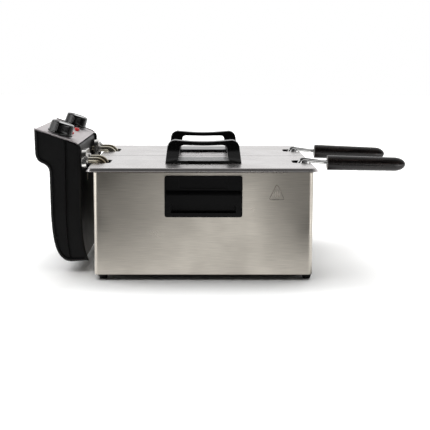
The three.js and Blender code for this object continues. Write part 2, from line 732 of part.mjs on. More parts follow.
function lidScrew(sign, end) {
  const top = LID_INSIDE - GAP;
  const profile = [
    [0, top - LID_SCREW_HEAD],
    [LID_SCREW_HEAD_RADIUS, top - LID_SCREW_HEAD],
    [LID_SCREW_HEAD_RADIUS, top],
    [LID_SCREW_RADIUS, top],
    [LID_SCREW_RADIUS, LID_TOP + LID_SCREW_REACH],
    [0, LID_TOP + LID_SCREW_REACH],
  ];
  return turned(profile, at(end * LID_SCREW_X, (sign * TANK_PITCH) / 2, 0), 8);
}

// ---------------------------------------------------------------- control head
const SLOPE = Math.atan2(HEAD_TOP_REAR - HEAD_TOP_FRONT, HEAD_SLOPE_END - HEAD_REAR);
const PANEL_NORMAL = new THREE.Vector3(Math.sin(SLOPE), 0, Math.cos(SLOPE));
const PANEL_MIDDLE_X = (HEAD_REAR + HEAD_FRONT) / 2;

// A place on the sloping panel, `down` the slope from its middle line and `out` from its face.
function onPanel(down, y, out) {
  const x = PANEL_MIDDLE_X + down * Math.cos(SLOPE);
  const z = HEAD_TOP_REAR - Math.tan(SLOPE) * (PANEL_MIDDLE_X - HEAD_REAR) - down * Math.sin(SLOPE);
  const p = new THREE.Vector3(x, y, z).addScaledVector(PANEL_NORMAL, out);
  return pointing(PANEL_NORMAL, p.x, p.y, p.z);
}

function headOutline() {
  const s = new THREE.Shape();
  s.moveTo(HEAD_REAR, HEAD_TOP_REAR);
  s.lineTo(HEAD_REAR + 0.6, HEAD_SHOULDER);
  s.quadraticCurveTo(HEAD_REAR + 0.8, HEAD_SHOULDER - 12.5, HEAD_WAIST - 10, HEAD_SHOULDER - 16.5);
  s.quadraticCurveTo(HEAD_WAIST - 0.2, HEAD_SHOULDER - 20.1, HEAD_WAIST - 0.2, HEAD_NECK);
  s.lineTo(HEAD_WAIST + 0.6, HEAD_BELLY);
  s.quadraticCurveTo(HEAD_WAIST + 2, HEAD_BELLY - 37, HEAD_WAIST + 8, HEAD_BOTTOM + 17);
  s.quadraticCurveTo(HEAD_WAIST + 14.4, HEAD_BOTTOM, HEAD_SOLE, HEAD_BOTTOM);
  s.lineTo(HEAD_HEEL, HEAD_BOTTOM + 1.3);
  s.lineTo(HEAD_FRONT + 3.8, HEAD_BOTTOM + 17.5);
  s.lineTo(HEAD_FRONT + 1.4, HEAD_BOTTOM + 33.5);
  s.lineTo(HEAD_FRONT, HEAD_BOTTOM + 55.5);
  s.lineTo(HEAD_FRONT, HEAD_TOP_FRONT - 12.9);
  s.quadraticCurveTo(HEAD_FRONT, HEAD_TOP_FRONT - 4.7, HEAD_SLOPE_END, HEAD_TOP_FRONT);
  return s;
}

function headBody(inset) {
  const half = HEAD_WIDTH / 2 - inset;
  return prism("y", headOutline(), -half, half, { smooth: 5, edge: HEAD_EDGE, steps: 2, inset });
}

// Everything in front of the parting line between the two shells, moved forward by `shift`.
function frontHalf(shift) {
  const s = new THREE.Shape();
  s.moveTo(HEAD_PARTING + shift, HEAD_TOP_REAR + 2 * PAST);
  s.lineTo(HEAD_PARTING + shift, HEAD_BELLY);
  s.quadraticCurveTo(HEAD_PARTING + shift + 0.5, HEAD_BELLY - 47, HEAD_SOLE + shift, HEAD_BOTTOM - PAST);
  s.lineTo(HEAD_HEEL + 3 * PAST, HEAD_BOTTOM - PAST);
  s.lineTo(HEAD_HEEL + 3 * PAST, HEAD_TOP_REAR + 2 * PAST);
  return prism("y", s, -HEAD_WIDTH, HEAD_WIDTH, { smooth: 4 });
}

// The half space that starts `depth` under the panel's face, as a thick slab.
function abovePanel(depth) {
  const side = HEAD_WIDTH + 2 * PAST;
  const g = new THREE.BoxGeometry(side, side, side).translate(0, 0, side / 2 - depth);
  return solid(g.applyMatrix4(onPanel(0, 0, 0)));
}

const headShell = cut(headBody(0), headBody(HEAD_WALL), abovePanel(PANEL_THICKNESS + GAP));

function bored(matrix, radius, from, to, segments = 16) {
  const profile = [
    [0, from],
    [radius, from],
    [radius, to],
    [0, to],
  ];
  return turned(profile, matrix, segments);
}

function headRearShell() {
  const resets = SIDES.map(({ sign }) =>
    bored(pointing(X, HEAD_REAR, sign * RESET_Y, RESET_HEIGHT), RESET_RADIUS + GAP, -PAST, 2 * PAST),
  );
  const glands = SIDES.map(({ sign }) =>
    bored(pointing(X, HEAD_WAIST, sign * GLAND_Y, GLAND_HEIGHT), GLAND_RADIUS + GAP, -PAST, PAST),
  );
  return cut(headShell, frontHalf(0), ...resets, ...glands);
}

// With the hook that drops into the casing's bracket, and a window behind each mounting plate.
function headFrontShell() {
  const arm = BRACKET_TOP + HOOK_LIFT;
  const wall = -HALF_LENGTH - GAP - BRACKET_REACH;
  const hookX = wall + SHEET + 1;
  const hook = joined(
    box(HEAD_FRONT - 1, hookX + HOOK_THICKNESS, -HOOK_HALF_WIDTH, HOOK_HALF_WIDTH, arm, arm + HOOK_THICKNESS),
    box(
      hookX,
      hookX + HOOK_THICKNESS,
      -HOOK_HALF_WIDTH,
      HOOK_HALF_WIDTH,
      arm - HOOK_DROP,
      arm + HOOK_THICKNESS,
    ),
  );
  const windows = SIDES.map(({ sign }) => {
    const y = (sign * TANK_PITCH) / 2;
    const half = MOUNT_HALF_WIDTH - MOUNT_LIP;
    const [low, high] = [MOUNT_BOTTOM + MOUNT_LIP, MOUNT_TOP - MOUNT_LIP];
    return box(HEAD_FRONT - PAST, HEAD_FRONT + PAST, y - half, y + half, low, high);
  });
  return cut(joined(headShell.intersect(frontHalf(GAP)), hook), ...windows);
}

function controlPanel() {
  const spindles = SIDES.map(({ sign }) =>
    bored(onPanel(0, (sign * TANK_PITCH) / 2, 0), SPINDLE_RADIUS + SPINDLE_FIT, -PAST, PAST, 12),
  );
  const lamps = SIDES.map(({ sign }) =>
    bored(onPanel(LAMP_ALONG, sign * LAMP_Y, 0), LAMP_RADIUS - 1 + GAP, -PAST, PAST, 12),
  );
  return cut(headBody(0).intersect(abovePanel(PANEL_THICKNESS)), ...spindles, ...lamps);
}

// A shallow dish against the head's front face, with a hole for each tube and one for the capillary.
function mountingPlate(sign) {
  const y = (sign * TANK_PITCH) / 2;
  const half = MOUNT_HALF_WIDTH;
  const back = HEAD_FRONT + GAP;
  const front = back + MOUNT_DEPTH;
  const dish = prism("x", roundedBox(y - half, y + half, MOUNT_BOTTOM, MOUNT_TOP, MOUNT_CORNER), back, front);
  const inner = prism(
    "x",
    roundedBox(
      y - half + SHEET,
      y + half - SHEET,
      MOUNT_BOTTOM + SHEET,
      MOUNT_TOP - SHEET,
      MOUNT_CORNER - SHEET,
    ),
    back - PAST,
    front - MOUNT_FACE,
  );
  const holes = [-1, 1].map((leg) =>
    prism(
      "x",
      round(TUBE_RADIUS + 2 * GAP, y + (leg * TUBE_LEG_SPACING) / 2, TUBE_EXIT_HEIGHT),
      back - PAST,
      front + PAST,
      { smooth: 6 },
    ),
  );
  const pin = prism("x", round(CAPILLARY_RADIUS + 2 * GAP, y, CAPILLARY_HEIGHT), back - PAST, front + PAST, {
    smooth: 4,
  });
  return cut(dish, inner, ...holes, pin);
}

// One tube: in through the plate, down into the tank, four runs along the bottom, and back.
function heatingElement(sign) {
  const y = (sign * TANK_PITCH) / 2;
  const leg = TUBE_LEG_SPACING / 2;
  const wide = TUBE_LOOP_HALF_WIDTH;
  const half = (side) => [
    [HEAD_FRONT - TUBE_TAIL, side * leg, TUBE_EXIT_HEIGHT],
    [TUBE_DROP_X, side * leg, TUBE_EXIT_HEIGHT],
    [TUBE_DROP_X, side * leg, TUBE_LOOP_HEIGHT],
    [TUBE_LOOP_START, side * leg, TUBE_LOOP_HEIGHT],
    [TUBE_LOOP_START, side * wide, TUBE_LOOP_HEIGHT],
    [TUBE_LOOP_END, side * wide, TUBE_LOOP_HEIGHT],
    [TUBE_LOOP_END, side * leg, TUBE_LOOP_HEIGHT],
    [TUBE_LOOP_TURN, side * leg, TUBE_LOOP_HEIGHT],
  ];
  const route = [...half(-1), ...half(1).reverse()].map(([px, py, pz]) => [px, y + py, pz]);
  return bent(route, TUBE_BEND, TUBE_RADIUS, { steps: 3 });
}

function sensorBulb(sign) {
  const y = (sign * TANK_PITCH) / 2;
  const capillary = bent(
    [
      [HEAD_FRONT - TUBE_TAIL, y, CAPILLARY_HEIGHT],
      [BULB_X, y, CAPILLARY_HEIGHT],
      [BULB_X, y, BULB_TOP - 1],
    ],
    CAPILLARY_BEND,
    CAPILLARY_RADIUS,
    { sides: 3, steps: 4 },
  );
  const r = BULB_RADIUS;
  const bulb = turned(
    [
      [0, BULB_BOTTOM],
      [r - 1, BULB_BOTTOM],
      [r, BULB_BOTTOM + 1],
      [r, BULB_TOP - 2],
      [r - 1, BULB_TOP],
      [0, BULB_TOP],
    ],
    at(BULB_X, y, 0),
    10,
  );
  return joined(capillary, bulb);
}

function thermostat(sign) {
  const y = (sign * TANK_PITCH) / 2;
  const half = THERMOSTAT_SIZE / 2;
  const under = -PANEL_THICKNESS - 2 * GAP;
  const body = new THREE.BoxGeometry(THERMOSTAT_SIZE, THERMOSTAT_SIZE, THERMOSTAT_DEPTH).translate(
    0,
    0,
    under - THERMOSTAT_NECK - THERMOSTAT_DEPTH / 2,
  );
  const neck = bored(onPanel(0, y, 0), half * 0.6, under - THERMOSTAT_NECK - 1, under);
  const bore = bored(onPanel(0, y, 0), SPINDLE_RADIUS + SPINDLE_FIT, under - SPINDLE_HOLE, under + PAST, 12);
  return cut(joined(solid(body.applyMatrix4(onPanel(0, y, 0))), neck), bore);
}

// A button in the head's back wall, held in by its flange, with the cut-out it resets behind it.
const RESET_FLANGE_X = HEAD_REAR + HEAD_WALL + RESET_PLAY;

function resetButton(sign) {
  const outer = HEAD_REAR + RESET_SETBACK;
  const end = RESET_FLANGE_X + RESET_TRAVEL;
  const profile = [
    [0, outer],
    [RESET_RADIUS, outer],
    [RESET_RADIUS, RESET_FLANGE_X],
    [RESET_RADIUS + RESET_FLANGE, RESET_FLANGE_X],
    [RESET_RADIUS + RESET_FLANGE, end],
    [0, end],
  ];
  return turned(profile, pointing(X, 0, sign * RESET_Y, RESET_HEIGHT), 16);
}

function thermalCutout(sign) {
  const start = RESET_FLANGE_X + 2 * RESET_TRAVEL + 1;
  return bored(pointing(X, 0, sign * RESET_Y, RESET_HEIGHT), CUTOUT_RADIUS, start, start + CUTOUT_DEPTH);
}

function lamp(sign) {
  const place = onPanel(LAMP_ALONG, sign * LAMP_Y, 0);
  const r = LAMP_RADIUS;
  const stem = r - 1;
  return turned(
    [
      [0, -PANEL_THICKNESS - LAMP_STEM],
      [stem, -PANEL_THICKNESS - LAMP_STEM],
      [stem, GAP],
      [r, GAP],
      [r, LAMP_HEIGHT * 0.45],
      [r * 0.75, LAMP_HEIGHT * 0.85],
      [r * 0.35, LAMP_HEIGHT],
      [0, LAMP_HEIGHT],
    ],
    place,
    16,
  );
}

// A turned knob with a skirt and a raised pointer; its spindle reaches into the thermostat.
function knob(sign) {
  const place = onPanel(0, (sign * TANK_PITCH) / 2, 0);
  const r = KNOB_RADIUS;
  const top = KNOB_HEIGHT;
  const body = turned(
    [
      [0, KNOB_LIFT],
      [r, KNOB_LIFT],
      [r, KNOB_LIFT + KNOB_SKIRT - 0.6],
      [r - 0.6, KNOB_LIFT + KNOB_SKIRT],
      [r - 1.2, KNOB_LIFT + KNOB_SKIRT],
      [r - 1.8, top - 1.6],
      [r - 3.2, top],
      [0, top],
    ],
    place,
    28,
  );
  const pointer = new THREE.BoxGeometry(r * 0.55, 2.2, 1.4).translate(-r * 0.5, 0, top);
  const spindle = bored(place, SPINDLE_RADIUS, -PANEL_THICKNESS - 2 * GAP - SPINDLE_REACH, KNOB_LIFT + 1, 12);
  return joined(body, solid(pointer.applyMatrix4(place)), spindle);
}

function terminalBlock() {
  const [back, front] = [HEAD_WAIST + 10.6, HEAD_FRONT - 10];
  const half = TERMINAL_HALF_WIDTH;
  return box(back, front, -half, half, TERMINAL_BOTTOM, TERMINAL_BOTTOM + TERMINAL_HEIGHT);
}

function interlockSwitch() {
  const front = HEAD_FRONT - HEAD_WALL - 1;
  const half = SWITCH_HALF_WIDTH;
  return box(front - SWITCH_DEPTH, front, -half, half, SWITCH_TOP - SWITCH_HEIGHT, SWITCH_TOP);
}

// A flush bush in the back wall, held by its inner flange.
function cordGland(sign) {
  const outer = HEAD_WAIST + 0.6;
  const inner = HEAD_WAIST + HEAD_WALL + 1;
  const profile = [
    [GLAND_BORE, outer],
    [GLAND_RADIUS, outer],
    [GLAND_RADIUS, inner],
    [GLAND_RADIUS + GLAND_FLANGE, inner],
    [GLAND_RADIUS + GLAND_FLANGE, inner + GLAND_FLANGE_DEPTH],
    [GLAND_BORE, inner + GLAND_FLANGE_DEPTH],
    [GLAND_BORE, outer],
  ];
  return turned(profile, pointing(X, 0, sign * GLAND_Y, GLAND_HEIGHT), 16);
}

// ---------------------------------------------------------------- baskets
function basket(sign) {
  const y = (sign * TANK_PITCH) / 2;
  const half = BASKET_WIDTH / 2;
  const outline = (inset) =>
    roundedBox(
      BASKET_START + inset,
      BASKET_END - inset,
      y - half + inset,
      y + half - inset,
      BASKET_CORNER - inset,
    );
  const outside = prism("z", outline(0), BASKET_BOTTOM, BASKET_TOP);
  const inside = prism("z", outline(BASKET_WALL), BASKET_BOTTOM + BASKET_WALL, BASKET_TOP + PAST);
  return cut(outside, inside);
}

function basketRim(sign) {
  const y = (sign * TANK_PITCH) / 2;
  const half = BASKET_WIDTH / 2;
  const low = BASKET_TOP + GAP;
  const ring = (grow, from, to) =>
    prism(
      "z",
      roundedBox(
        BASKET_START - grow,
        BASKET_END + grow,
        y - half - grow,
        y + half + grow,
        BASKET_CORNER + grow,
      ),
      from,
      to,
    );
  const grow = RIM_WIRE / 2;
  return cut(ring(grow, low, low + RIM_WIRE), ring(-grow, low - PAST, low + RIM_WIRE + PAST));
}

// Takes the two ends of the handle wire on the basket's end wall.
function basketBracket(sign) {
  const y = (sign * TANK_PITCH) / 2;
  const start = BASKET_END + GAP;
  const half = BRACKET_PLATE_HALF_WIDTH;
  const shelf = WIRE_X + WIRE_RADIUS + 1;
  const low = WIRE_BOTTOM - GAP;
  const bottom = low - BRACKET_SHELF;
  const plate = box(start, start + BRACKET_PLATE, y - half, y + half, bottom, BRACKET_PLATE_TOP);
  const foot = box(start, shelf, y - half, y + half, bottom, low);
  return joined(plate, foot);
}

function drainHook(sign) {
  const y = (sign * TANK_PITCH) / 2;
  const start = BASKET_START - GAP;
  const tip = start - DRAIN_HOOK_REACH;
  const top = DRAIN_HOOK_TOP;
  const half = DRAIN_HOOK_HALF_WIDTH;
  return joined(
    box(start - BRACKET_PLATE, start, y - half, y + half, top - DRAIN_HOOK_HEIGHT, top),
    box(tip, start, y - half, y + half, top - BRACKET_PLATE, top),
    box(tip, tip + BRACKET_PLATE, y - half, y + half, top - DRAIN_HOOK_LIP, top),
  );
}

// One wire: up from the bracket, out over the tank's edge, round inside the grip, and back.
function handleWire(sign) {
  const y = (sign * TANK_PITCH) / 2;
  const spread = WIRE_SPACING / 2;
  const close = WIRE_SPACING_GRIP / 2;
  const leg = (side) => [
    [WIRE_X, y + side * spread, WIRE_BOTTOM],
    [WIRE_X, y + side * spread, WIRE_RISE],
    [WIRE_KNEE_X, y + side * spread, WIRE_KNEE_Z],
    [GRIP_START - WIRE_BEFORE_GRIP, y + side * close, WIRE_ENTRY],
    [WIRE_END, y + side * close, WIRE_END_HEIGHT],
  ];
  return bent([...leg(-1), ...leg(1).reverse()], WIRE_BEND, WIRE_RADIUS, { sides: 4, steps: 3 });
}

function gripPlace(side) {
  const droop = THREE.MathUtils.degToRad(GRIP_DROOP[side.name]);
  const y = (side.sign * TANK_PITCH) / 2;
  return at(GRIP_START, y, GRIP_HEIGHT)
    .multiply(new THREE.Matrix4().makeRotationY(droop))
    .multiply(pointing(X, 0, 0, 0));
}

function grip(side) {
  const r = GRIP_RADIUS;
  const end = GRIP_LENGTH;
  const thin = r - GRIP_TAPER;
  const body = turned(
    [
      [0, 0],
      [r - GRIP_EDGE, 0],
      [r, GRIP_EDGE],
      [thin, end - GRIP_NOSE],
      [thin * 0.86, end - GRIP_NOSE * 0.4],
      [thin * 0.55, end - GRIP_NOSE * 0.08],
      [GRIP_PIN_RADIUS + GAP, end],
      [GRIP_PIN_RADIUS + GAP, end - GRIP_PIN_DEPTH],
      [0, end - GRIP_PIN_DEPTH],
    ],
    gripPlace(side),
    20,
  );
  const y = (side.sign * TANK_PITCH) / 2;
  const half = WIRE_SPACING_GRIP / 2 + WIRE_RADIUS + 2 * GAP;
  const tall = WIRE_RADIUS + 2 * GAP;
  const bore = box(
    GRIP_START - PAST,
    WIRE_END + WIRE_RADIUS + 1,
    y - half,
    y + half,
    WIRE_END_HEIGHT - tall,
    WIRE_ENTRY + tall,
  );
  return cut(body, bore);
}

function gripPin(side) {
  return bored(gripPlace(side), GRIP_PIN_RADIUS, GRIP_LENGTH - GRIP_PIN_DEPTH + 0.5, GRIP_LENGTH - GAP, 12);
}

// ---------------------------------------------------------------- assembly
add("casing_shell", casingShell(), BRUSHED);
add("base_plate", basePlate(), GALVANISED);
add("centre_rail", centreRail(), BRIGHT);
add("head_bracket", headBracket(), GALVANISED);
for (const [end, name] of [
  [-1, "head"],
  [1, "handle"],
])
  for (const side of SIDES)
    add(
      `foot_${side.name}_${name}`,
      foot(end * (HALF_LENGTH - FOOT_INSET_X) + FOOT_SHIFT_X, side.sign * (HALF_WIDTH - FOOT_INSET_Y)),
      RUBBER,
    );

for (const side of SIDES) {
  const { name, sign } = side;
  add(`${name}_carry_handle`, carryHandle(sign), BLACK);
  add(`${name}_oil_tank`, tank(sign), ENAMEL);
  add(`${name}_mounting_plate`, mountingPlate(sign), BRIGHT);
  add(`${name}_heating_element`, heatingElement(sign), NICKEL);
  add(`${name}_sensor_bulb`, sensorBulb(sign), NICKEL);
  add(`${name}_thermostat`, thermostat(sign), CREAM);
  add(`${name}_thermal_cutout`, thermalCutout(sign), CREAM);
  add(`${name}_reset_button`, resetButton(sign), RED);
  add(`${name}_lamp`, lamp(sign), RED);
  add(`${name}_knob`, knob(sign), GLOSS_BLACK);
  add(`${name}_cord_gland`, cordGland(sign), BLACK);
  add(`${name}_basket`, basket(sign), BRIGHT);
  add(`${name}_basket_rim`, basketRim(sign), BRIGHT);
  add(`${name}_basket_bracket`, basketBracket(sign), BRIGHT);
  add(`${name}_drain_hook`, drainHook(sign), BRIGHT);
  add(`${name}_handle_wire`, handleWire(sign), BRIGHT);
  add(`${name}_grip`, grip(side), GRIP_BLACK);
  add(`${name}_grip_pin`, gripPin(side), BRIGHT);
  add(`${name}_lid`, lid(sign), LID_STEEL);
  add(`${name}_lid_handle`, lidHandle(sign), BLACK);
  add(`${name}_lid_screw_head_end`, lidScrew(sign, -1), BRIGHT);
  add(`${name}_lid_screw_handle_end`, lidScrew(sign, 1), BRIGHT);
}

add("head_rear_shell", headRearShell(), BLACK);
add("head_front_shell", headFrontShell(), BLACK);
add("control_panel", controlPanel(), PANEL_GREY);
add("terminal_block", terminalBlock(), CREAM);
add("interlock_switch", interlockSwitch(), CREAM);

const outline = new THREE.Box3().setFromObject(fryer, true);
fryer.position.x = -outline.getCenter(new THREE.Vector3()).x;

export default fryer;
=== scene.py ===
# A twin deep fryer: steel casing, two lift-out tanks, two baskets with long handles, two lids, one control
# head. Built from the worktop up, in the order in which it goes together. Shapes are worked out in
# millimetres about the middle of the casing, and become metres in the frame when a mesh is made.
import math

import bpy
import numpy as np
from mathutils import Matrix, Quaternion, Vector


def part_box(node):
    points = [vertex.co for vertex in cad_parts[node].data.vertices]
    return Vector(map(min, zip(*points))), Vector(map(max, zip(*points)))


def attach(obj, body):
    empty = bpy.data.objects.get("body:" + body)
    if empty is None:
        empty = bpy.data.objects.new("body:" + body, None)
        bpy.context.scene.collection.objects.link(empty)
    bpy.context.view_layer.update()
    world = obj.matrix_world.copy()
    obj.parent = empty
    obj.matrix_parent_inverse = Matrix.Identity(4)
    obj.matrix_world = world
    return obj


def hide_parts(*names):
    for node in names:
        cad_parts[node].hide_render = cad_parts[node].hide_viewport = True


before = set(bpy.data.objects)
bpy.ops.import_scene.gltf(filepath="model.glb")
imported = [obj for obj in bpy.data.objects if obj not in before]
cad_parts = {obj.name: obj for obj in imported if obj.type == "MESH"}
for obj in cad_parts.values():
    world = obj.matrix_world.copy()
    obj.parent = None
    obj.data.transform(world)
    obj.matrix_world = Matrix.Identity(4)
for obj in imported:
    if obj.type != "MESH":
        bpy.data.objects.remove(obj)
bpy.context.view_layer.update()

# ---------------------------------------------------------------- camera
# A long lens in front of the left long side, a little above the rim, looking slightly down.
camera_place = Vector((-0.02884, -1.57697, 0.30903))
camera_way = Vector((0.0128, 0.988, -0.1534))
camera_roll = 0.003
camera = bpy.data.objects.new("camera", bpy.data.cameras.new("camera"))
camera.data.lens = 87.2
camera.data.sensor_width = 36
camera.rotation_mode = "QUATERNION"
camera.location = camera_place
camera.rotation_quaternion = camera_way.to_track_quat("-Z", "Y") @ Quaternion((0, 0, 1), camera_roll)
bpy.context.scene.collection.objects.link(camera)
bpy.context.scene.camera = camera
bpy.context.scene.view_settings.view_transform = "Standard"

# ---------------------------------------------------------------- worktop and light
# A white table in a white room, bright behind and above and dark in front. The table's own faint glow keeps
# the shadow short. Mirrored in the steel it is bright in front of the middle and dark towards both sides; a
# black card behind the head and a white one at the left show in such reflections alone.
table_reach = 6.0
table_white, table_glow = (0.9, 0.9, 0.895, 1), 0.28
shade_half_x, shade_half_y, glow_from, glow_to = 0.17, 0.172, 0.02, 0.16
mirrored_bright, mirrored_close, mirrored_sides = 2.15, 0.56, 1.6
dome_way, dome_bright, dome_dark = (0.12, 0.8, 0.24), 1.05, 0.03
daylight_way, daylight_strength, daylight_angle = (0.22, -0.3, -1), 3.3, 75
black_corners = [(-0.75, 0.3, 0), (-0.1, 0.3, 0), (-0.1, 0.3, 0.15), (-0.75, 0.3, 0.15)]
white_corners = [(-0.9, -0.75, 0.1), (-0.9, 0.0, 0.1), (-0.75, 0.0, 0.75), (-0.75, -0.75, 0.75)]
card_glow = 2.2


def new_material(name):
    """A material with one shader: the material itself, its nodes, and that shader."""
    made = bpy.data.materials.new(name)
    made.use_nodes = True
    return made, made.node_tree, made.node_tree.nodes["Principled BSDF"]


table_mesh = bpy.data.meshes.new("table")
corners = np.array([[-1, -1, 0], [1, -1, 0], [1, 1, 0], [-1, 1, 0]], float) * table_reach
table_mesh.from_pydata(corners.tolist(), [], [(0, 1, 2, 3)])
table = bpy.data.objects.new("table", table_mesh)
bpy.context.scene.collection.objects.link(table)
paper, lit, table_shader = new_material("white_table")
table_shader.inputs["Base Color"].default_value = table_white
table_shader.inputs["Roughness"].default_value = 0.9
table_shader.inputs["Emission Color"].default_value = (1, 1, 1, 1)
where = lit.nodes.new("ShaderNodeTexCoord")
axes = lit.nodes.new("ShaderNodeSeparateXYZ")
lit.links.new(where.outputs["Object"], axes.inputs[0])
table_x, table_y = axes.outputs["X"], axes.outputs["Y"]


def ramp(tree, source, low, high, start, end, smooth=True):
    """A value that goes from start to end while its source goes from low to high."""
    made = tree.nodes.new("ShaderNodeMapRange")
    made.interpolation_type = "SMOOTHSTEP" if smooth else "LINEAR"
    made.inputs["From Min"].default_value, made.inputs["From Max"].default_value = low, high
    made.inputs["To Min"].default_value, made.inputs["To Max"].default_value = start, end
    tree.links.new(source, made.inputs["Value"])
    return made.outputs["Result"]


def calculated(tree, operation, first, second=None):
    """The outcome of one sum on two values, each a node's output or a number."""
    made = tree.nodes.new("ShaderNodeMath")
    made.operation = operation
    for socket, value in zip(made.inputs, (first, second)):
        if isinstance(value, float):
            socket.default_value = value
        elif value is not None:
            tree.links.new(value, socket)
    return made.outputs[0]


beside_x = calculated(lit, "SUBTRACT", calculated(lit, "ABSOLUTE", table_x), shade_half_x)
beside_y = calculated(lit, "SUBTRACT", calculated(lit, "ABSOLUTE", table_y), shade_half_y)
outside = calculated(lit, "MAXIMUM", beside_x, beside_y)
glow = ramp(lit, outside, glow_from, glow_to, 0, table_glow)
lit.links.new(glow, table_shader.inputs["Emission Strength"])
mirror_left = ramp(lit, table_x, -0.21, 0.07, 0.02, 1, smooth=False)
mirror_right = ramp(lit, table_x, 0.045, 0.125, 1, 0)
mirror_middle = calculated(lit, "MULTIPLY", mirror_left, mirror_right)
outer_left = ramp(lit, table_x, -0.75, -0.5, mirrored_sides, 0)
outer_right = ramp(lit, table_x, 0.3, 0.5, 0, mirrored_sides)
mirror_sides = calculated(lit, "MAXIMUM", outer_left, outer_right)
mirror_across = calculated(lit, "MAXIMUM", mirror_middle, mirror_sides)
mirror_far = ramp(lit, table_y, -2.5, -0.5, 0.3, 1, smooth=False)
mirror_away = calculated(lit, "MULTIPLY", mirror_across, mirror_far)
away = ramp(lit, table_y, -0.46, -0.24, 1, 0)
close = ramp(lit, table_y, -0.46, -0.24, 0, mirrored_close)
mirrored = calculated(lit, "ADD", calculated(lit, "MULTIPLY", mirror_away, away), close)
mirror_light = lit.nodes.new("ShaderNodeEmission")
mirror_shown = ramp(lit, outside, -0.004, 0.02, 0, mirrored_bright)
lit.links.new(calculated(lit, "MULTIPLY", mirrored, mirror_shown), mirror_light.inputs["Strength"])
path_kind = lit.nodes.new("ShaderNodeLightPath")
table_face = lit.nodes.new("ShaderNodeMixShader")
lit.links.new(path_kind.outputs["Is Glossy Ray"], table_face.inputs["Fac"])
lit.links.new(table_shader.outputs[0], table_face.inputs[1])
lit.links.new(mirror_light.outputs[0], table_face.inputs[2])
lit.links.new(table_face.outputs[0], lit.nodes["Material Output"].inputs["Surface"])
table_mesh.materials.append(paper)

room = bpy.data.worlds.new("room")
bpy.context.scene.world = room
room.use_nodes = True
sky = room.node_tree
direction = sky.nodes.new("ShaderNodeTexCoord")
height = sky.nodes.new("ShaderNodeVectorMath")
height.operation = "DOT_PRODUCT"
height.inputs[1].default_value = dome_way
dome = ramp(sky, height.outputs["Value"], -0.3, 0.95, dome_dark, dome_bright)
seen = sky.nodes.new("ShaderNodeLightPath")
white = sky.nodes.new("ShaderNodeBackground")
white.inputs["Color"].default_value = (1, 1, 1, 1)
either = sky.nodes.new("ShaderNodeMixShader")
sky.links.new(direction.outputs["Generated"], height.inputs[0])
sky.links.new(dome, sky.nodes["Background"].inputs["Color"])
sky.links.new(seen.outputs["Is Camera Ray"], either.inputs["Fac"])
sky.links.new(sky.nodes["Background"].outputs[0], either.inputs[1])
sky.links.new(white.outputs[0], either.inputs[2])
sky.links.new(either.outputs[0], sky.nodes["World Output"].inputs["Surface"])

daylight = bpy.data.objects.new("daylight", bpy.data.lights.new("daylight", "SUN"))
daylight.data.energy = daylight_strength
daylight.data.angle = math.radians(daylight_angle)
daylight.rotation_mode = "QUATERNION"
daylight.rotation_quaternion = Vector(daylight_way).to_track_quat("-Z", "Y")
daylight.visible_glossy = False
bpy.context.scene.collection.objects.link(daylight)

cards = (("card_behind_head", black_corners, 0), ("card_at_left", white_corners, card_glow))
for name, corners, strength in cards:
    finish, _, shader = new_material(name)
    shader.inputs["Base Color"].default_value = (0.004, 0.004, 0.004, 1)
    shader.inputs["Roughness"].default_value = 1
    shader.inputs["Emission Color"].default_value = (1, 1, 1, 1)
    shader.inputs["Emission Strength"].default_value = strength
    mesh = bpy.data.meshes.new(name)
    mesh.from_pydata(corners, [], [(0, 1, 2, 3)])
    mesh.materials.append(finish)
    card = bpy.data.objects.new(name, mesh)
    card.visible_camera = False
    card.visible_shadow = False
    card.visible_diffuse = False
    bpy.context.scene.collection.objects.link(card)

# ---------------------------------------------------------------- casing
# One box of brushed stainless sheet, folded in at the rim and at the foot, with a window in each long side
# for the finger pocket of its carry handle. The grain runs round the walls.
casing_low, casing_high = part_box("casing_shell")
middle_x = (casing_low.x + casing_high.x) / 2
casing_half_x = (casing_high.x - casing_low.x) * 500
casing_half_y = casing_high.y * 1000
casing_foot, casing_rim = casing_low.z * 1000, casing_high.z * 1000
casing_corner = 6
sheet_steel = 1
fold_radius, foot_flange, rim_flange = 1.6, 22, 3.2
window_half, window_low, window_high = 45.4, 92.6, 126
long_walls = ((-1, "left"), (1, "right"))


def grid_faces(rows, columns, rows_meet=False, columns_meet=False):
    """Quads over a grid whose point (i, j) has the number i * columns + j."""
    i = np.arange(rows if rows_meet else rows - 1)
    j = np.arange(columns if columns_meet else columns - 1)
    i, j = np.meshgrid(i, j, indexing="ij")
    here, beyond, beside = i * columns, (i + 1) % rows * columns, (j + 1) % columns
    return np.stack([here + j, here + beside, beyond + beside, beyond + j], axis=-1).reshape(-1, 4)


def enclosed(points, faces):
    """Signed volume about the mean point: a fan of tetrahedra from it over every face."""
    about = points - points.mean(0)
    total = 0.0
    for size in {len(f) for f in faces}:
        ring = about[np.array([f for f in faces if len(f) == size])]
        fan = np.cross(ring[:, 1:-1], ring[:, 2:])
        total += np.einsum("ij,ikj->", ring[:, 0], fan)
    return total


def make_piece(name, points, faces, material, body, replaced=(), crease=35):
    """A mesh from points in millimetres about the casing's middle, with its faces turned outwards."""
    faces = [tuple(map(int, f)) for f in faces]
    if enclosed(points, faces) < 0:
        faces = [f[::-1] for f in faces]
    mesh = bpy.data.meshes.new(name)
    mesh.from_pydata((points * 0.001 + (middle_x, 0, 0)).tolist(), [], faces)
    mesh.polygons.foreach_set("use_smooth", np.ones(len(mesh.polygons), bool))
    mesh.set_sharp_from_angle(angle=math.radians(crease))
    mesh.materials.append(material)
    made = bpy.data.objects.new(name, mesh)
    bpy.context.scene.collection.objects.link(made)
    made.modifiers.new("shading", "WEIGHTED_NORMAL").keep_sharp = True
    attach(made, body)
    if replaced:
        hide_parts(*replaced)
    return made


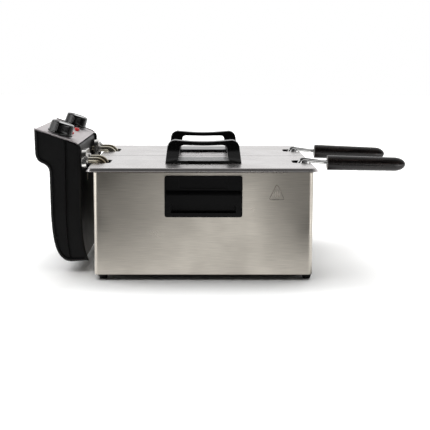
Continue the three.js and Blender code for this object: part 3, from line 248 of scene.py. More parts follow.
def thicken(made, thickness):
    """Sheet of a given thickness in millimetres, measured inwards from its outer face."""
    wall = made.modifiers.new("sheet", "SOLIDIFY")
    wall.thickness = thickness * 0.001
    wall.offset = -1
    wall.use_even_offset = True
    made.modifiers.move(1, 0)


def arc(x, y, radius, start, end, steps=8):
    """Points round a centre from one angle to another, in degrees."""
    a = np.radians(np.linspace(start, end, steps + 1))
    return np.stack([x + radius * np.cos(a), y + radius * np.sin(a)], axis=-1)


def rectangle_ring(x0, x1, y0, y1, radius, z, marks_x=(), marks_y=(), steps=8):
    """A level rounded rectangle: four quarter circles, with extra points on its straights at the marks."""
    far, near = sorted(marks_x), sorted(marks_y)
    on_x = lambda xs, y: np.array([(x, y) for x in xs]).reshape(-1, 2)
    on_y = lambda x, ys: np.array([(x, y) for y in ys]).reshape(-1, 2)
    flat = np.concatenate(
        [
            arc(x1 - radius, y1 - radius, radius, 0, 90, steps),
            on_x(far[::-1], y1),
            arc(x0 + radius, y1 - radius, radius, 90, 180, steps),
            on_y(x0, near[::-1]),
            arc(x0 + radius, y0 + radius, radius, 180, 270, steps),
            on_x(far, y0),
            arc(x1 - radius, y0 + radius, radius, 270, 360, steps),
            on_y(x1, near),
        ]
    )
    return np.column_stack([flat, np.full(len(flat), z)])


def ring_about(x, y, half_x, half_y, radius, z, **more):
    """A level rounded rectangle about a place, from its half lengths."""
    return rectangle_ring(x - half_x, x + half_x, y - half_y, y + half_y, radius, z, **more)


def noise(tree, at, scale, detail=2):
    """A noise of one scale over the given coordinates."""
    made = tree.nodes.new("ShaderNodeTexNoise")
    made.inputs["Scale"].default_value = scale
    made.inputs["Detail"].default_value = detail
    tree.links.new(at, made.inputs["Vector"])
    return made.outputs["Fac"]


def drawn_noise(tree, at, scales, detail):
    """A noise with a scale of its own along each axis, which draws it out into lines."""
    drawn = tree.nodes.new("ShaderNodeMapping")
    drawn.inputs["Scale"].default_value = scales
    tree.links.new(at, drawn.inputs["Vector"])
    return noise(tree, drawn.outputs["Vector"], 1, detail)


def shade(tree, colour, amount):
    """Feeds the shader a colour that a value makes darker or lighter."""
    made = tree.nodes.new("ShaderNodeVectorMath")
    made.operation = "SCALE"
    made.inputs[0].default_value = colour
    tree.links.new(amount, made.inputs["Scale"])
    tree.links.new(made.outputs["Vector"], tree.nodes["Principled BSDF"].inputs["Base Color"])


def relief(tree, height, strength, distance):
    """Feeds the shader small bumps from a value. The distance is in metres."""
    made = tree.nodes.new("ShaderNodeBump")
    made.inputs["Strength"].default_value = strength
    made.inputs["Distance"].default_value = distance
    tree.links.new(height, made.inputs["Height"])
    tree.links.new(made.outputs["Normal"], tree.nodes["Principled BSDF"].inputs["Normal"])


def brushed_metal(name, colour, roughness, grain, depth=0.25, change=0.16, spread=0.07):
    """Metal with a grain: noise drawn out along the brushing shades it and lifts it slightly, and a broad
    noise changes its roughness. The grain gives how fine the noise is along X, Y and Z."""
    made, tree, shader = new_material(name)
    shader.inputs["Metallic"].default_value = 1
    place = tree.nodes.new("ShaderNodeTexCoord").outputs["Object"]
    fine = drawn_noise(tree, place, grain, 5)
    shade(tree, colour, ramp(tree, fine, 0.3, 0.7, 1 - change, 1, smooth=False))
    low, high = roughness - spread, roughness + spread
    rough = ramp(tree, noise(tree, place, 22, 3), 0.3, 0.7, low, high, smooth=False)
    tree.links.new(rough, shader.inputs["Roughness"])
    relief(tree, fine, depth, 0.00005)
    return made


wall_steel = brushed_metal("wall_steel", (0.60, 0.56, 0.495), 0.34, (40, 40, 1500), depth=0.08, change=0.2)
wall_shader = wall_steel.node_tree.nodes["Principled BSDF"]
wall_shader.inputs["Anisotropic"].default_value = 0.55
wall_shader.inputs["Anisotropic Rotation"].default_value = 0.25
round_walls = wall_steel.node_tree.nodes.new("ShaderNodeTangent")
round_walls.direction_type, round_walls.axis = "RADIAL", "Z"
wall_steel.node_tree.links.new(round_walls.outputs["Tangent"], wall_shader.inputs["Tangent"])

quarter_turn = np.radians(np.linspace(0, 90, 5))
fold = [(fold_radius * (1 - math.sin(a)), fold_radius * (1 - math.cos(a))) for a in quarter_turn]
walls = [(foot_flange, casing_foot), *[(inset, casing_foot + rise) for inset, rise in fold]]
walls += [(0, window_low), (0, window_high)]
walls += [*[(inset, casing_rim - drop) for drop, inset in fold], (rim_flange, casing_rim)]
rings = []
for inset, z in walls:
    half_x, half_y = casing_half_x - inset, casing_half_y - inset
    corner = max(casing_corner - inset, 1)
    rings.append(ring_about(0, 0, half_x, half_y, corner, z, marks_x=(-window_half, window_half)))
rings = np.array(rings)
casing_points = rings.reshape(-1, 3)
casing_faces = grid_faces(len(rings), rings.shape[1], columns_meet=True)
centres = casing_points[casing_faces].mean(1)
in_window = abs(centres[:, 0]) < window_half
in_window &= (centres[:, 2] > window_low) & (centres[:, 2] < window_high)
on_long_wall = abs(centres[:, 1]) > casing_half_y - 1
closed = casing_faces[~(in_window & on_long_wall)]
casing = make_piece("casing", casing_points, closed, wall_steel, "casing", ["casing_shell"])
thicken(casing, sheet_steel)

# ---------------------------------------------------------------- pressed mark
# A rounded triangle with three short upright ridges, pressed outwards in the left wall: a plain decoration
# in place of any sign. Its steel is coloured darker than the wall's, as painted shade along the pressed
# ridges.
mark_x, mark_low, mark_high, mark_half = 100, 112, 133.5, 10.6
mark_wire, mark_bend, mark_proud = 0.5, 1.4, 0.08
ridge_start, ridge_sizes = 3.5, ((-2.6, 7), (0, 9), (2.6, 7))


def path_tubes(paths, radius, sides=8, meets=False):
    """Round bars along many paths at once: at each point a circle square to the path, turned against one
    fixed direction that no path follows. Gives points and faces, with flat ends unless it meets itself."""
    paths = np.asarray(paths, float)
    ahead = np.roll(paths, -1, 1) - paths
    behind = paths - np.roll(paths, 1, 1)
    if not meets:
        ahead[:, -1], behind[:, 0] = behind[:, -1], ahead[:, 0]
    way = ahead / np.linalg.norm(ahead, axis=-1, keepdims=True)
    way = way + behind / np.linalg.norm(behind, axis=-1, keepdims=True)
    way /= np.linalg.norm(way, axis=-1, keepdims=True)
    across = np.cross(way, (0.35, 0.52, 0.78))
    across /= np.linalg.norm(across, axis=-1, keepdims=True)
    up = np.cross(way, across)
    a = np.linspace(0, 2 * np.pi, sides, endpoint=False)[:, None]
    circle = across[:, :, None] * np.cos(a) + up[:, :, None] * np.sin(a)
    points = (paths[:, :, None] + radius * circle).reshape(-1, 3)
    stations = paths.shape[1]
    one = grid_faces(stations, sides, rows_meet=meets, columns_meet=True)[:, ::-1]
    starts = np.arange(len(paths)) * stations * sides
    faces = (one + starts[:, None, None]).reshape(-1, 4).tolist()
    if not meets:
        first = np.arange(sides)
        last = first + (stations - 1) * sides
        faces += (starts[:, None] + first).tolist() + (starts[:, None] + last[::-1]).tolist()
    return points, faces


def bent_path(corners, radius, steps=8):
    """A route of straights with a circular bend of one radius at each inner corner."""
    c = np.asarray(corners, float)
    legs = np.diff(c, axis=0)
    legs /= np.linalg.norm(legs, axis=-1, keepdims=True)
    into, out = legs[:-1], legs[1:]
    turn = np.arccos(np.clip((into * out).sum(-1, keepdims=True), -1, 1))
    side = out - into * np.cos(turn)
    side /= np.linalg.norm(side, axis=-1, keepdims=True)
    start = c[1:-1] - into * radius * np.tan(turn / 2)
    a = turn[:, None] * np.linspace(0, 1, steps + 1)[:, None]
    bends = start[:, None] + radius * (into[:, None] * np.sin(a) + side[:, None] * (1 - np.cos(a)))
    return np.concatenate([c[:1], bends.reshape(-1, 3), c[-1:]])


face_y = -casing_half_y + mark_proud
flat = [(0, mark_low), (mark_half, mark_low), (0, mark_high), (-mark_half, mark_low), (0, mark_low)]
triangle = bent_path([(mark_x + dx, face_y, z) for dx, z in flat], mark_bend)[:-1]
ridges = [
    [(mark_x + dx, face_y, mark_low + ridge_start + k * (height / 6)) for k in range(7)]
    for dx, height in ridge_sizes
]
triangle_points, triangle_faces = path_tubes([triangle], mark_wire, meets=True)
ridge_points, ridge_faces = path_tubes(ridges, mark_wire)
points = np.concatenate([triangle_points, ridge_points])
faces = list(triangle_faces) + [tuple(i + len(triangle_points) for i in f) for f in ridge_faces]
# The wall's steel at about half its brightness: painted shade of the pressed ridges, not a colour of their
# own.
mark_painted_shade_steel = brushed_metal("mark_painted_shade_steel", (0.30, 0.27, 0.24), 0.3, (9, 9, 2400))
make_piece("pressed_mark", points, faces, mark_painted_shade_steel, "casing")

# ---------------------------------------------------------------- inside the casing
# A galvanised base plate, the channel between the tanks, and the pocket that the head hooks into: all of it
# folded sheet.
galvanised = brushed_metal("galvanised", (0.50, 0.51, 0.52), 0.48, (60, 60, 60), change=0.3)
satin_steel = brushed_metal("satin_steel", (0.72, 0.71, 0.69), 0.3, (6, 900, 900))


def dress(node, material, rounding, segments=2):
    """A finish and softly rounded edges for a part whose shape stays as it is."""
    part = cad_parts[node]
    part.data.materials.clear()
    part.data.materials.append(material)
    part.data.polygons.foreach_set("use_smooth", np.ones(len(part.data.polygons), bool))
    part.modifiers.new("join", "WELD").merge_threshold = 0.00001
    if rounding:
        soft = part.modifiers.new("edges", "BEVEL")
        soft.width = rounding * 0.001
        soft.segments = segments
        soft.limit_method = "ANGLE"
        soft.angle_limit = math.radians(32)
    part.modifiers.new("shading", "WEIGHTED_NORMAL").keep_sharp = False
    return part


dress("base_plate", galvanised, 0)
dress("centre_rail", satin_steel, 0.2)
dress("head_bracket", galvanised, 0.2)

# ---------------------------------------------------------------- feet
# Four moulded rubber feet, tapered, pushed on under the hem, each with a rounded sole and a screw recess.
foot_top_radius, foot_sole_radius = 6.8, 5.2


def plastic(name, colour, roughness, pebble=1400, depth=0.2, mottle=0.25, coat=0.0, shine=0.3):
    """Moulded plastic or rubber: a fine pebbled bump, and a slow change of roughness and shade."""
    made, tree, shader = new_material(name)
    shader.inputs["Coat Weight"].default_value = coat
    shader.inputs["Coat Roughness"].default_value = 0.12
    shader.inputs["Specular IOR Level"].default_value = shine
    place = tree.nodes.new("ShaderNodeTexCoord").outputs["Object"]
    slow = noise(tree, place, 35, 4)
    shade(tree, colour, ramp(tree, slow, 0, 1, 1 - mottle, 1 + mottle, smooth=False))
    rough = ramp(tree, slow, 0, 1, roughness - 0.08, roughness + 0.08, smooth=False)
    tree.links.new(rough, shader.inputs["Roughness"])
    relief(tree, noise(tree, place, pebble), depth, 0.0001)
    return made


def standing(x, y, z):
    """A frame at a place whose third axis points up: origin, then the three axes as rows."""
    return np.array([x, y, z], float), np.eye(3)


def turned(profile, place, steps=32, ripple=None):
    """A turned form: (radius, height) pairs carried once round the place's third axis, with a pole closed
    where the radius is nought. A ripple, if given, is added to the radius by angle and height."""
    r, h = np.array(profile, float).T
    a = np.linspace(0, 2 * np.pi, steps, endpoint=False)
    reach = np.repeat(r[:, None], steps, 1)
    if ripple is not None:
        reach = reach + np.where(reach > 0, ripple(a[None, :], h[:, None]), 0)
    local = np.stack([reach * np.cos(a), reach * np.sin(a), np.repeat(h[:, None], steps, 1)], axis=-1)
    origin, axes_rows = place
    points = (local @ axes_rows + origin).reshape(-1, 3)
    faces = grid_faces(len(r), steps, columns_meet=True).tolist()
    poles = [k for k in (0, len(r) - 1) if r[k] == 0]
    for k in poles:
        ring = k * steps + np.arange(steps)
        faces = [[ring[0] if i in set(ring) else i for i in f] for f in faces]
    return points, [tuple(dict.fromkeys(f)) for f in faces]


rubber = plastic("foot_rubber", (0.013, 0.013, 0.013), 0.62)
for _, side in long_walls:
    for end in ("head", "handle"):
        node = f"foot_{side}_{end}"
        low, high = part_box(node)
        x, y = ((low + high) / 2 * 1000).xy
        profile = [
            (0, 1.2),
            (1.6, 1.2),
            (2, 0.9),
            (2.2, 0.1),
            (2.8, 0),
            (foot_sole_radius - 0.9, 0),
            (foot_sole_radius - 0.2, 0.3),
            (foot_sole_radius, 1),
            (foot_top_radius - 0.3, 5.4),
            (foot_top_radius - 0.1, 6.3),
            (foot_top_radius - 0.6, 6.6),
            (0, 6.6),
        ]
        points, faces = turned(profile, standing(x - middle_x * 1000, y, 0))
        make_piece(f"{node}_rubber", points, faces, rubber, "casing", [node])

# ---------------------------------------------------------------- carry handles
# A black moulded cup pull on each long side: a plate with a shallow panel, a hood to lift by, and a finger
# pocket that goes back through the wall.
pull_black = plastic("pull_black", (0.0026, 0.0026, 0.0028), 0.3, depth=0.1, shine=0.1)
for _, side in long_walls:
    dress(f"{side}_carry_handle", pull_black, 0.9, segments=3)

# ---------------------------------------------------------------- oil tanks
# Drawn steel tanks, enamelled dark grey with pale specks: a flange that lies on the casing's rim, steep
# walls, and a floor that slopes in to a narrower cold zone.
tank_pitch_half = 88
tank_half_x, tank_half_y, tank_corner = 146, 73, 34
tank_floor, well_height, well_inset = 22, 22, 26
flange_top, flange_corner, mouth_radius, floor_radius = 151.4, 6, 2.5, 5
tank_sheet = 0.9


def stops(tree, source, first, last, *between):
    """A colour that follows a value through stops, each a position and a colour."""
    made = tree.nodes.new("ShaderNodeValToRGB")
    elements = made.color_ramp.elements
    elements[0].position, elements[0].color = first
    elements[1].position, elements[1].color = last
    for position, colour in between:
        elements.new(position).color = colour
    tree.links.new(source, made.inputs["Fac"])
    return made.outputs["Color"]


def enamel_coat(name, colour, speck):
    """Fired enamel: dark and glossy, with pale specks from a cell pattern, and a slight orange peel."""
    made, tree, shader = new_material(name)
    shader.inputs["Coat Weight"].default_value = 0.5
    shader.inputs["Roughness"].default_value = 0.3
    place = tree.nodes.new("ShaderNodeTexCoord").outputs["Object"]
    cells = tree.nodes.new("ShaderNodeTexVoronoi")
    cells.inputs["Scale"].default_value = 420
    tree.links.new(place, cells.inputs["Vector"])
    dots = stops(tree, cells.outputs["Distance"], (0.10, speck), (0.17, colour))
    tree.links.new(dots, shader.inputs["Base Color"])
    relief(tree, noise(tree, place, 160), 0.12, 0.0003)
    return made


enamel = enamel_coat("tank_enamel", (0.035, 0.036, 0.04, 1), (0.35, 0.35, 0.36, 1))
for sign, side in long_walls:
    y = sign * tank_pitch_half
    low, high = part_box(f"{side}_oil_tank")
    flange_x = (high.x - low.x) * 500
    flange_y = sorted((low.y * 1000, high.y * 1000))
    mouth = [
        (mouth_radius * (math.sin(a) - 1), flange_top - mouth_radius * (1 - math.cos(a)))
        for a in quarter_turn
    ]
    floor_turn = [
        (well_inset + floor_radius * (1 - math.cos(a)) + 1, tank_floor + floor_radius * (1 - math.sin(a)))
        for a in quarter_turn
    ]
    well_top = tank_floor + well_height
    rings = []
    for inset, z in ((0, flange_top - 1), (0, flange_top - 0.5), (0.4, flange_top)):
        near, far = flange_y[0] + inset, flange_y[1] - inset
        rings.append(rectangle_ring(inset - flange_x, flange_x - inset, near, far, flange_corner, z))
    for inset, z in [*mouth, (0, well_top + 4), (0.5, well_top + 1), *floor_turn]:
        half_x, half_y = tank_half_x - 1 - inset, tank_half_y - 1 - inset
        rings.append(ring_about(0, y, half_x, half_y, max(tank_corner - 1 - inset, 3), z))
    rings = np.array(rings)
    count = rings.shape[1]
    faces = grid_faces(len(rings), count, columns_meet=True).tolist()
    faces.append(tuple(range((len(rings) - 1) * count, len(rings) * count)))
    points = rings.reshape(-1, 3)
    tank = make_piece(f"{side}_tank", points, faces, enamel, "tanks", [f"{side}_oil_tank"])
    thicken(tank, tank_sheet)

# ---------------------------------------------------------------- control head
# Two black moulded shells that meet on an upright parting line, closed at the top by a sloping warm grey
# panel. The outline in X and Z is carried along Y, with its edges rounded at both sides.
head_half_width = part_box("head_rear_shell")[1].y * 1000
head_rear, head_front, head_waist = -237.5, -172.4, -217
head_top_rear, head_top_front, head_slope_end = 205.4, 188.7, -186.9
head_bottom, head_heel, head_parting = 14.5, -163.3, -194.4
panel_thickness, seam, parting_gap, side_round, panel_round = 2.4, 0.4, 0.08, 3.6, 1.5
head_crease = 28
slope = math.atan2(head_top_rear - head_top_front, head_slope_end - head_rear)
side_screws = ((-234.4, 176.7), (-213.9, 112.8), (-209.4, 49))


def quadratic(a, b, c, steps=12):
    """A quadratic curve from a to c, pulled towards b, without its first point."""
    t = np.linspace(0, 1, steps + 1)[1:, None]
    return (1 - t) ** 2 * np.array(a) + 2 * t * (1 - t) * np.array(b) + t**2 * np.array(c)


def under_panel(x, depth):
    """Height of the plane that lies a depth under the panel's face, at a place along X."""
    return head_top_rear - math.tan(slope) * (x - head_rear) - depth / math.cos(slope)


def mitres(outline):
    """For each point of a closed outline, the outward step that shifts both its sides by one."""
    before = outline - np.roll(outline, 1, 0)
    beyond = np.roll(outline, -1, 0)
    after = beyond - outline
    n0 = np.stack([before[:, 1], -before[:, 0]], -1) / np.linalg.norm(before, axis=1, keepdims=True)
    n1 = np.stack([after[:, 1], -after[:, 0]], -1) / np.linalg.norm(after, axis=1, keepdims=True)
    n = n0 + n1
    turn = np.sign(np.sum(outline[:, 0] * beyond[:, 1] - beyond[:, 0] * outline[:, 1]))
    return turn * n / np.maximum((n * n0).sum(1, keepdims=True), 0.35)


def carried_along_y(outline, half_width, edge, steps=5, away=None):
    """An outline in X and Z carried along Y between flat ends, drawn in at both ends along a quarter circle.
    The steps by which each point is drawn in are the mitres, unless others are given."""
    outline = np.asarray(outline, float)
    away = mitres(outline) if away is None else away
    a = np.radians(np.linspace(0, 90, steps + 1))
    ends = [(half_width - edge * (1 - math.cos(t)), edge * (1 - math.sin(t))) for t in a[::-1]]
    stations = [(-y, inset) for y, inset in ends] + [(y, inset) for y, inset in ends[::-1]]
    rings = []
    for y, inset in stations:
        flat = outline - inset * away
        rings.append(np.stack([flat[:, 0], np.full(len(flat), y), flat[:, 1]], -1))
    count = len(outline)
    faces = grid_faces(len(rings), count, columns_meet=True).tolist()
    faces += [tuple(range(count)), tuple(range((len(rings) - 1) * count, len(rings) * count))[::-1]]
    return np.concatenate(rings), faces


rear_curve = np.concatenate(
    [
        [(head_rear + 0.6, 171.5)],
        quadratic((head_rear + 0.6, 171.5), (head_rear + 0.8, 159), (head_waist - 10, 155)),
        quadratic((head_waist - 10, 155), (head_waist - 0.2, 151.4), (head_waist - 0.2, 141)),
        [(head_waist + 0.6, 82)],
        quadratic((head_waist + 0.6, 82), (head_waist + 2, 45), (head_waist + 8, 31.5)),
        quadratic((head_waist + 8, 31.5), (head_waist + 14.4, head_bottom), (-188, head_bottom), 14),
    ]
)
parting_curve = quadratic((-188, head_bottom), (head_parting + 0.5, 35), (head_parting, 82), 8)
under = panel_thickness + seam


def round_outside_only(outline, joins):
    """Mitres for a shell's outline, with none where it meets the other shell or the panel, and straight ones
    at the two points where it gets there."""
    away = mitres(outline)
    for rows_at, step in joins:
        away[rows_at] = step
    return away


rear_top = [(head_parting, under_panel(head_parting, under)), (head_rear, under_panel(head_rear, under))]
rear_outline = np.concatenate([rear_curve, parting_curve, rear_top])
brow = quadratic((head_slope_end, head_top_front), (head_front, 184), (head_front, 175.8), 20)
brow_depth = np.array([under_panel(x, panel_thickness) - z for x, z in brow])
shell_brow = brow[brow_depth > seam * 1.1]
panel_brow = brow[brow_depth < 0]
front_outline = np.concatenate(
    [
        [(-188 + parting_gap, head_bottom), (head_heel, head_bottom + 1.3), (head_front + 3.8, 32)],
        [(head_front + 1.4, 48), (head_front, 70)],
        shell_brow[::-1],
        [(head_parting + parting_gap, under_panel(head_parting + parting_gap, under))],
        (parting_curve + (parting_gap, 0))[::-1],
    ]
)
panel_outline = np.concatenate(
    [
        [(head_rear, under_panel(head_rear, panel_thickness)), (head_rear, head_top_rear - 1.1)],
        [(head_rear + 0.9, head_top_rear - 0.3), (head_slope_end, head_top_front)],
        panel_brow,
        [(panel_brow[-1][0] - 0.3, under_panel(panel_brow[-1][0] - 0.3, panel_thickness))],
    ]
)
shell_black = plastic("shell_black", (0.0085, 0.0085, 0.0088), 0.45, pebble=1100, depth=0.3, shine=0.12)
panel_grey = plastic("panel_grey", (0.40, 0.37, 0.375), 0.42, pebble=900, depth=0.15, mottle=0.12)

last_of_rear = len(rear_curve) - 1
first_of_cut = 5 + len(shell_brow)
brow_end = mitres(front_outline)[first_of_cut - 2]
rear_joins = [(slice(last_of_rear, None), (0, 0)), (last_of_rear, (0, -1)), (-1, (-1, 0))]
front_joins = [(slice(first_of_cut, None), (0, 0)), (0, (0, -1)), (first_of_cut - 1, brow_end)]
panel_joins = [(0, (-1, 0)), (-1, (0, 0))]
head_pieces = (
    ("rear_shell", "head_rear_shell", rear_outline, rear_joins, side_round, shell_black, "black_plastic"),
    ("front_shell", "head_front_shell", front_outline, front_joins, side_round, shell_black, "black_plastic"),
    ("panel", "control_panel", panel_outline, panel_joins, panel_round, panel_grey, "panel"),
)
for name, node, outline, joins, edge, material, slot in head_pieces:
    away = round_outside_only(outline, joins)
    points, faces = carried_along_y(outline, head_half_width, edge, away=away)
    make_piece(name, points, faces, material, "control_head", [node], head_crease)

# The hook that drops into the casing's pocket: one folded tongue on the front shell.
tongue_x, tongue_half, tongue_deep = -156.6, 30, 24
arm_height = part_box("head_bracket")[1].z * 1000 + 1.5
tongue = np.array(
    [
        (head_front - 1, arm_height),
        (tongue_x + 2.4, arm_height),
        (tongue_x + 2.4, arm_height - tongue_deep),
        (tongue_x + 3.2, arm_height - tongue_deep - 1),
        (tongue_x + 4.4, arm_height - tongue_deep - 1),
        (tongue_x + 5.2, arm_height - tongue_deep),
        (tongue_x + 5.2, arm_height + 2),
        (tongue_x + 4.2, arm_height + 2.8),
        (head_front - 1, arm_height + 2.8),
    ]
)
points, faces = carried_along_y(tongue, tongue_half, 0.6, steps=2)
make_piece("hook", points, faces, shell_black, "control_head")

# Three screws sit deep in each side, near the rear edge, and a slot of shadow shows round each.
screw_black = plastic("screw_black", (0.002, 0.002, 0.002), 0.7, mottle=0.1)
for sign, side in long_walls:
    for k, (x, z) in enumerate(side_screws, 1):
        turned_rows = np.array([[1, 0, 0], [0, 0, 1], [0, sign, 0]], float)
        place = (np.array([x, sign * (head_half_width - 0.55), z], float), turned_rows)
        cup = [(0, -0.3), (0.9, -0.3), (1.0, -0.1), (1.2, 0.2), (2.0, 0.3), (2.3, 0.54), (2.0, -1), (0, -1)]
        points, faces = turned(cup, place, 20)
        make_piece(f"{side}_side_screw_{k}", points, faces, screw_black, "control_head")

# ---------------------------------------------------------------- dial marks, lamps and buttons
# Round each knob's place a short raised white tick for each setting, longer at the middle and at both ends,
# and no words. Beside it a red lens, and on the back wall a red button over each overheat cut-out.
panel_middle_x = (head_rear + head_front) / 2
down_slope = np.array([math.cos(slope), 0, -math.sin(slope)])
off_panel = np.array([math.sin(slope), 0, math.cos(slope)])
lamp_down, lamp_y, button_y, button_z = 10, 36, 46, 186
tick_angles = np.radians(np.linspace(-150, 150, 11))


def on_panel(down, y, out=0.0):
    """A frame on the panel's face: third axis square to it, first axis up the slope."""
    start = np.array([panel_middle_x, 0, under_panel(panel_middle_x, 0)])
    origin = start + down * down_slope + out * off_panel + (0, y, 0)
    return origin, np.array([-down_slope, np.cross(off_panel, -down_slope), off_panel])


def facing_handles(x, y, z):
    """A frame at a place whose third axis points along X: origin, then the three axes as rows."""
    return np.array([x, y, z], float), np.array([[0, 1, 0], [0, 0, 1], [1, 0, 0]], float)


def dial_ticks(y):
    """Thin raised bars set out on a circle: each is a box between two radii, in the panel's own frame."""
    a = tick_angles[:, None]
    long_tick = np.where(np.arange(len(tick_angles)) % 5 == 0, 1.2, 0)[:, None]
    radii = np.array([[20.0, 22.4, 22.4, 20.0]]) + long_tick * [0, 1, 1, 0]
    spread = np.array([[-0.42, -0.42, 0.42, 0.42]])
    u = radii * np.cos(a) - spread * np.sin(a)
    v = radii * np.sin(a) + spread * np.cos(a)
    origin, rows = on_panel(0, y)
    low = np.stack([u, v, np.full_like(u, 0.01)], -1)
    high = np.stack([u, v, np.full_like(u, 0.12)], -1)
    points = np.concatenate([low, high], 1).reshape(-1, 3) @ rows + origin
    box = [(3, 2, 1, 0), (4, 5, 6, 7), (0, 1, 5, 4), (1, 2, 6, 5), (2, 3, 7, 6), (3, 0, 4, 7)]
    return points, [tuple(8 * k + i for i in f) for k in range(len(tick_angles)) for f in box]


def clear_plastic(name, colour, roughness=0.08):
    """A coloured lens: glossy, slightly see-through, with a cloudy change of shade inside."""
    made, tree, shader = new_material(name)
    shader.inputs["Roughness"].default_value = roughness
    shader.inputs["Coat Weight"].default_value = 0.6
    shader.inputs["Subsurface Weight"].default_value = 0.2
    cloud = noise(tree, tree.nodes.new("ShaderNodeTexCoord").outputs["Object"], 260)
    darker = (*[c * 0.6 for c in colour], 1)
    tree.links.new(stops(tree, cloud, (0.35, darker), (0.7, (*colour, 1))), shader.inputs["Base Color"])
    return made


tick_white = plastic("tick_white", (0.62, 0.6, 0.6), 0.5, mottle=0.15)
lamp_red = clear_plastic("lamp_red", (0.75, 0.012, 0.01))
button_red = plastic("button_red", (0.5, 0.012, 0.01), 0.35, mottle=0.15, coat=0.3)
lens = [(0, -3), (3.2, -3), (3.2, 0.1), (4.0, 0.1), (4.4, 0.4), (4.4, 1.4)]
lens += [(4.4 * math.cos(t), 1.4 + 2.2 * math.sin(t)) for t in np.radians([20, 40, 60, 78])] + [(0, 3.6)]
button = [(0, 0), (2.9, 0), (3.4, 0.15), (3.6, 0.6), (3.6, 3.2), (5.2, 3.2), (5.2, 5), (0, 5)]
for sign, side in long_walls:
    y = sign * tank_pitch_half
    points, faces = dial_ticks(y)
    make_piece(f"{side}_dial_ticks", points, faces, tick_white, "control_head")
    points, faces = turned(lens, on_panel(lamp_down, sign * lamp_y), 28)
    make_piece(f"{side}_lamp_lens", points, faces, lamp_red, "control_head", [f"{side}_lamp"])
    points, faces = turned(button, facing_handles(head_rear + 0.5, sign * button_y, button_z), 28)
    node = f"{side}_reset_button"
    make_piece(f"{node}_cap", points, faces, button_red, node, [node])

# ---------------------------------------------------------------- knobs
# Glossy black, turned, with fine upright ribs to grip, a dished top and a white pointer. Its spindle goes
# down into the thermostat.
rib_count, rib_depth = 54, 0.14
knob_profile = [(0, -8), (3, -8), (3, 0.6), (17.6, 0.6), (18.1, 0.8), (18.25, 1.3), (18.25, 3.1), (18.0, 3.6)]
knob_profile += [(17.2, 3.8), (17.0, 4.3), (16.5, 15.2), (16.2, 16.4), (15.6, 17.1), (14.9, 17.38)]
knob_profile += [(14.2, 17.3), (13.6, 16.9), (13.0, 16.7), (5, 16.6), (0, 16.6)]


def ribs(angle, height):
    """Ribs on the upright part of the side only: a cosine round the knob, let in between two heights."""
    band = np.clip((height - 4.2) / 0.6, 0, 1) * np.clip((15.6 - height) / 0.8, 0, 1)
    return -rib_depth * (0.5 + 0.5 * np.cos(rib_count * angle)) * band


gloss_colour = (0.0012, 0.0012, 0.0013)
gloss_black = plastic("gloss_black", gloss_colour, 0.1, pebble=500, depth=0.0, mottle=0.1, coat=0.6)
for sign, side in long_walls:
    y = sign * tank_pitch_half
    rows = []
    for (r0, h0), (r1, h1) in zip(knob_profile, knob_profile[1:]):
        cuts = 8 if 10 < h1 - h0 < 12 else 1
        rows += [(r0 + (r1 - r0) * k / cuts, h0 + (h1 - h0) * k / cuts) for k in range(cuts)]
    points, faces = turned([*rows, knob_profile[-1]], on_panel(0, y), rib_count * 6, ribs)
    body = f"{side}_knob"
    make_piece(f"{body}_cap", points, faces, gloss_black, body, [body])
    origin, axes_rows = on_panel(0, y)
    bar = rectangle_ring(5.5, 13.6, -0.75, 0.75, 0.5, 0, steps=3)
    tiers = [(0.0, 16.4), (0.0, 17.2), (0.15, 17.38)]
    rings = [(bar - (9.5, 0, 0)) * [1 - t * 0.1, 1 - t, 1] + (9.5, 0, z) for t, z in tiers]
    count = len(bar)
    faces = grid_faces(3, count, columns_meet=True).tolist()
    faces += [tuple(range(count))[::-1], tuple(range(2 * count, 3 * count))]
    points = np.concatenate(rings) @ axes_rows + origin
    make_piece(f"{body}_pointer", points, faces, tick_white, body)

# ---------------------------------------------------------------- inside the head
# Cream mouldings: thermostats under the knobs, overheat cut-outs, the terminal block and the safety switch.
cream = plastic("cream_moulding", (0.66, 0.61, 0.5), 0.55)
for node in ("terminal_block", "interlock_switch"):
    dress(node, cream, 0.6)
for _, side in long_walls:
    dress(f"{side}_thermostat", cream, 0.6)
    dress(f"{side}_thermal_cutout", cream, 0.6)

# ---------------------------------------------------------------- cord glands
# A black bush in the back wall below the waist for each half's mains cord.
gland = [(3.8, 0.25), (4.6, 0), (6.6, 0), (7.4, 0.35), (7.6, 0.95), (7.6, 3.75), (10, 3.75), (10, 6.25)]
gland += [(3.8, 6.25)]
gland_y, gland_z = 58, 104


def turned_ring(profile, place, steps):
    """A turned form with a hole through it: its last ring of points is joined to its first."""
    points, faces = turned(profile, place, steps)
    first = np.arange(steps)
    last = first + (len(profile) - 1) * steps
    faces += np.stack([last, np.roll(last, -1), np.roll(first, -1), first], -1).tolist()
    return points, faces


for sign, side in long_walls:
    place = facing_handles(head_waist + 0.35, sign * gland_y, gland_z)
    points, faces = turned_ring(gland, place, 32)
    node = f"{side}_cord_gland"
    make_piece(f"{node}_bush", points, faces, rubber, "control_head", [node])

# ---------------------------------------------------------------- heating elements
# One nickel-alloy tube for each tank: out of the head side by side, over the rim, down, and four runs along
# the bottom, tinted straw and brown by heat. A bright plate holds it, and a sensor bulb hangs beside it.
tube_radius, leg, loop_half, tube_bend = 3.25, 17, 50, 13
tube_exit, drop_x, loop_z = 160, -139, 40
loop_start, loop_turn, loop_end = -112, -88, 108
tube_collar, collar_out = [(3.4, 0), (5.2, 0), (5.6, 0.4), (5.6, 1.8), (5.0, 2.4), (3.4, 2.4)], 7.1
heat_tints = (0.30, 0.24, 0.15), (0.62, 0.57, 0.45), (0.74, 0.70, 0.60)


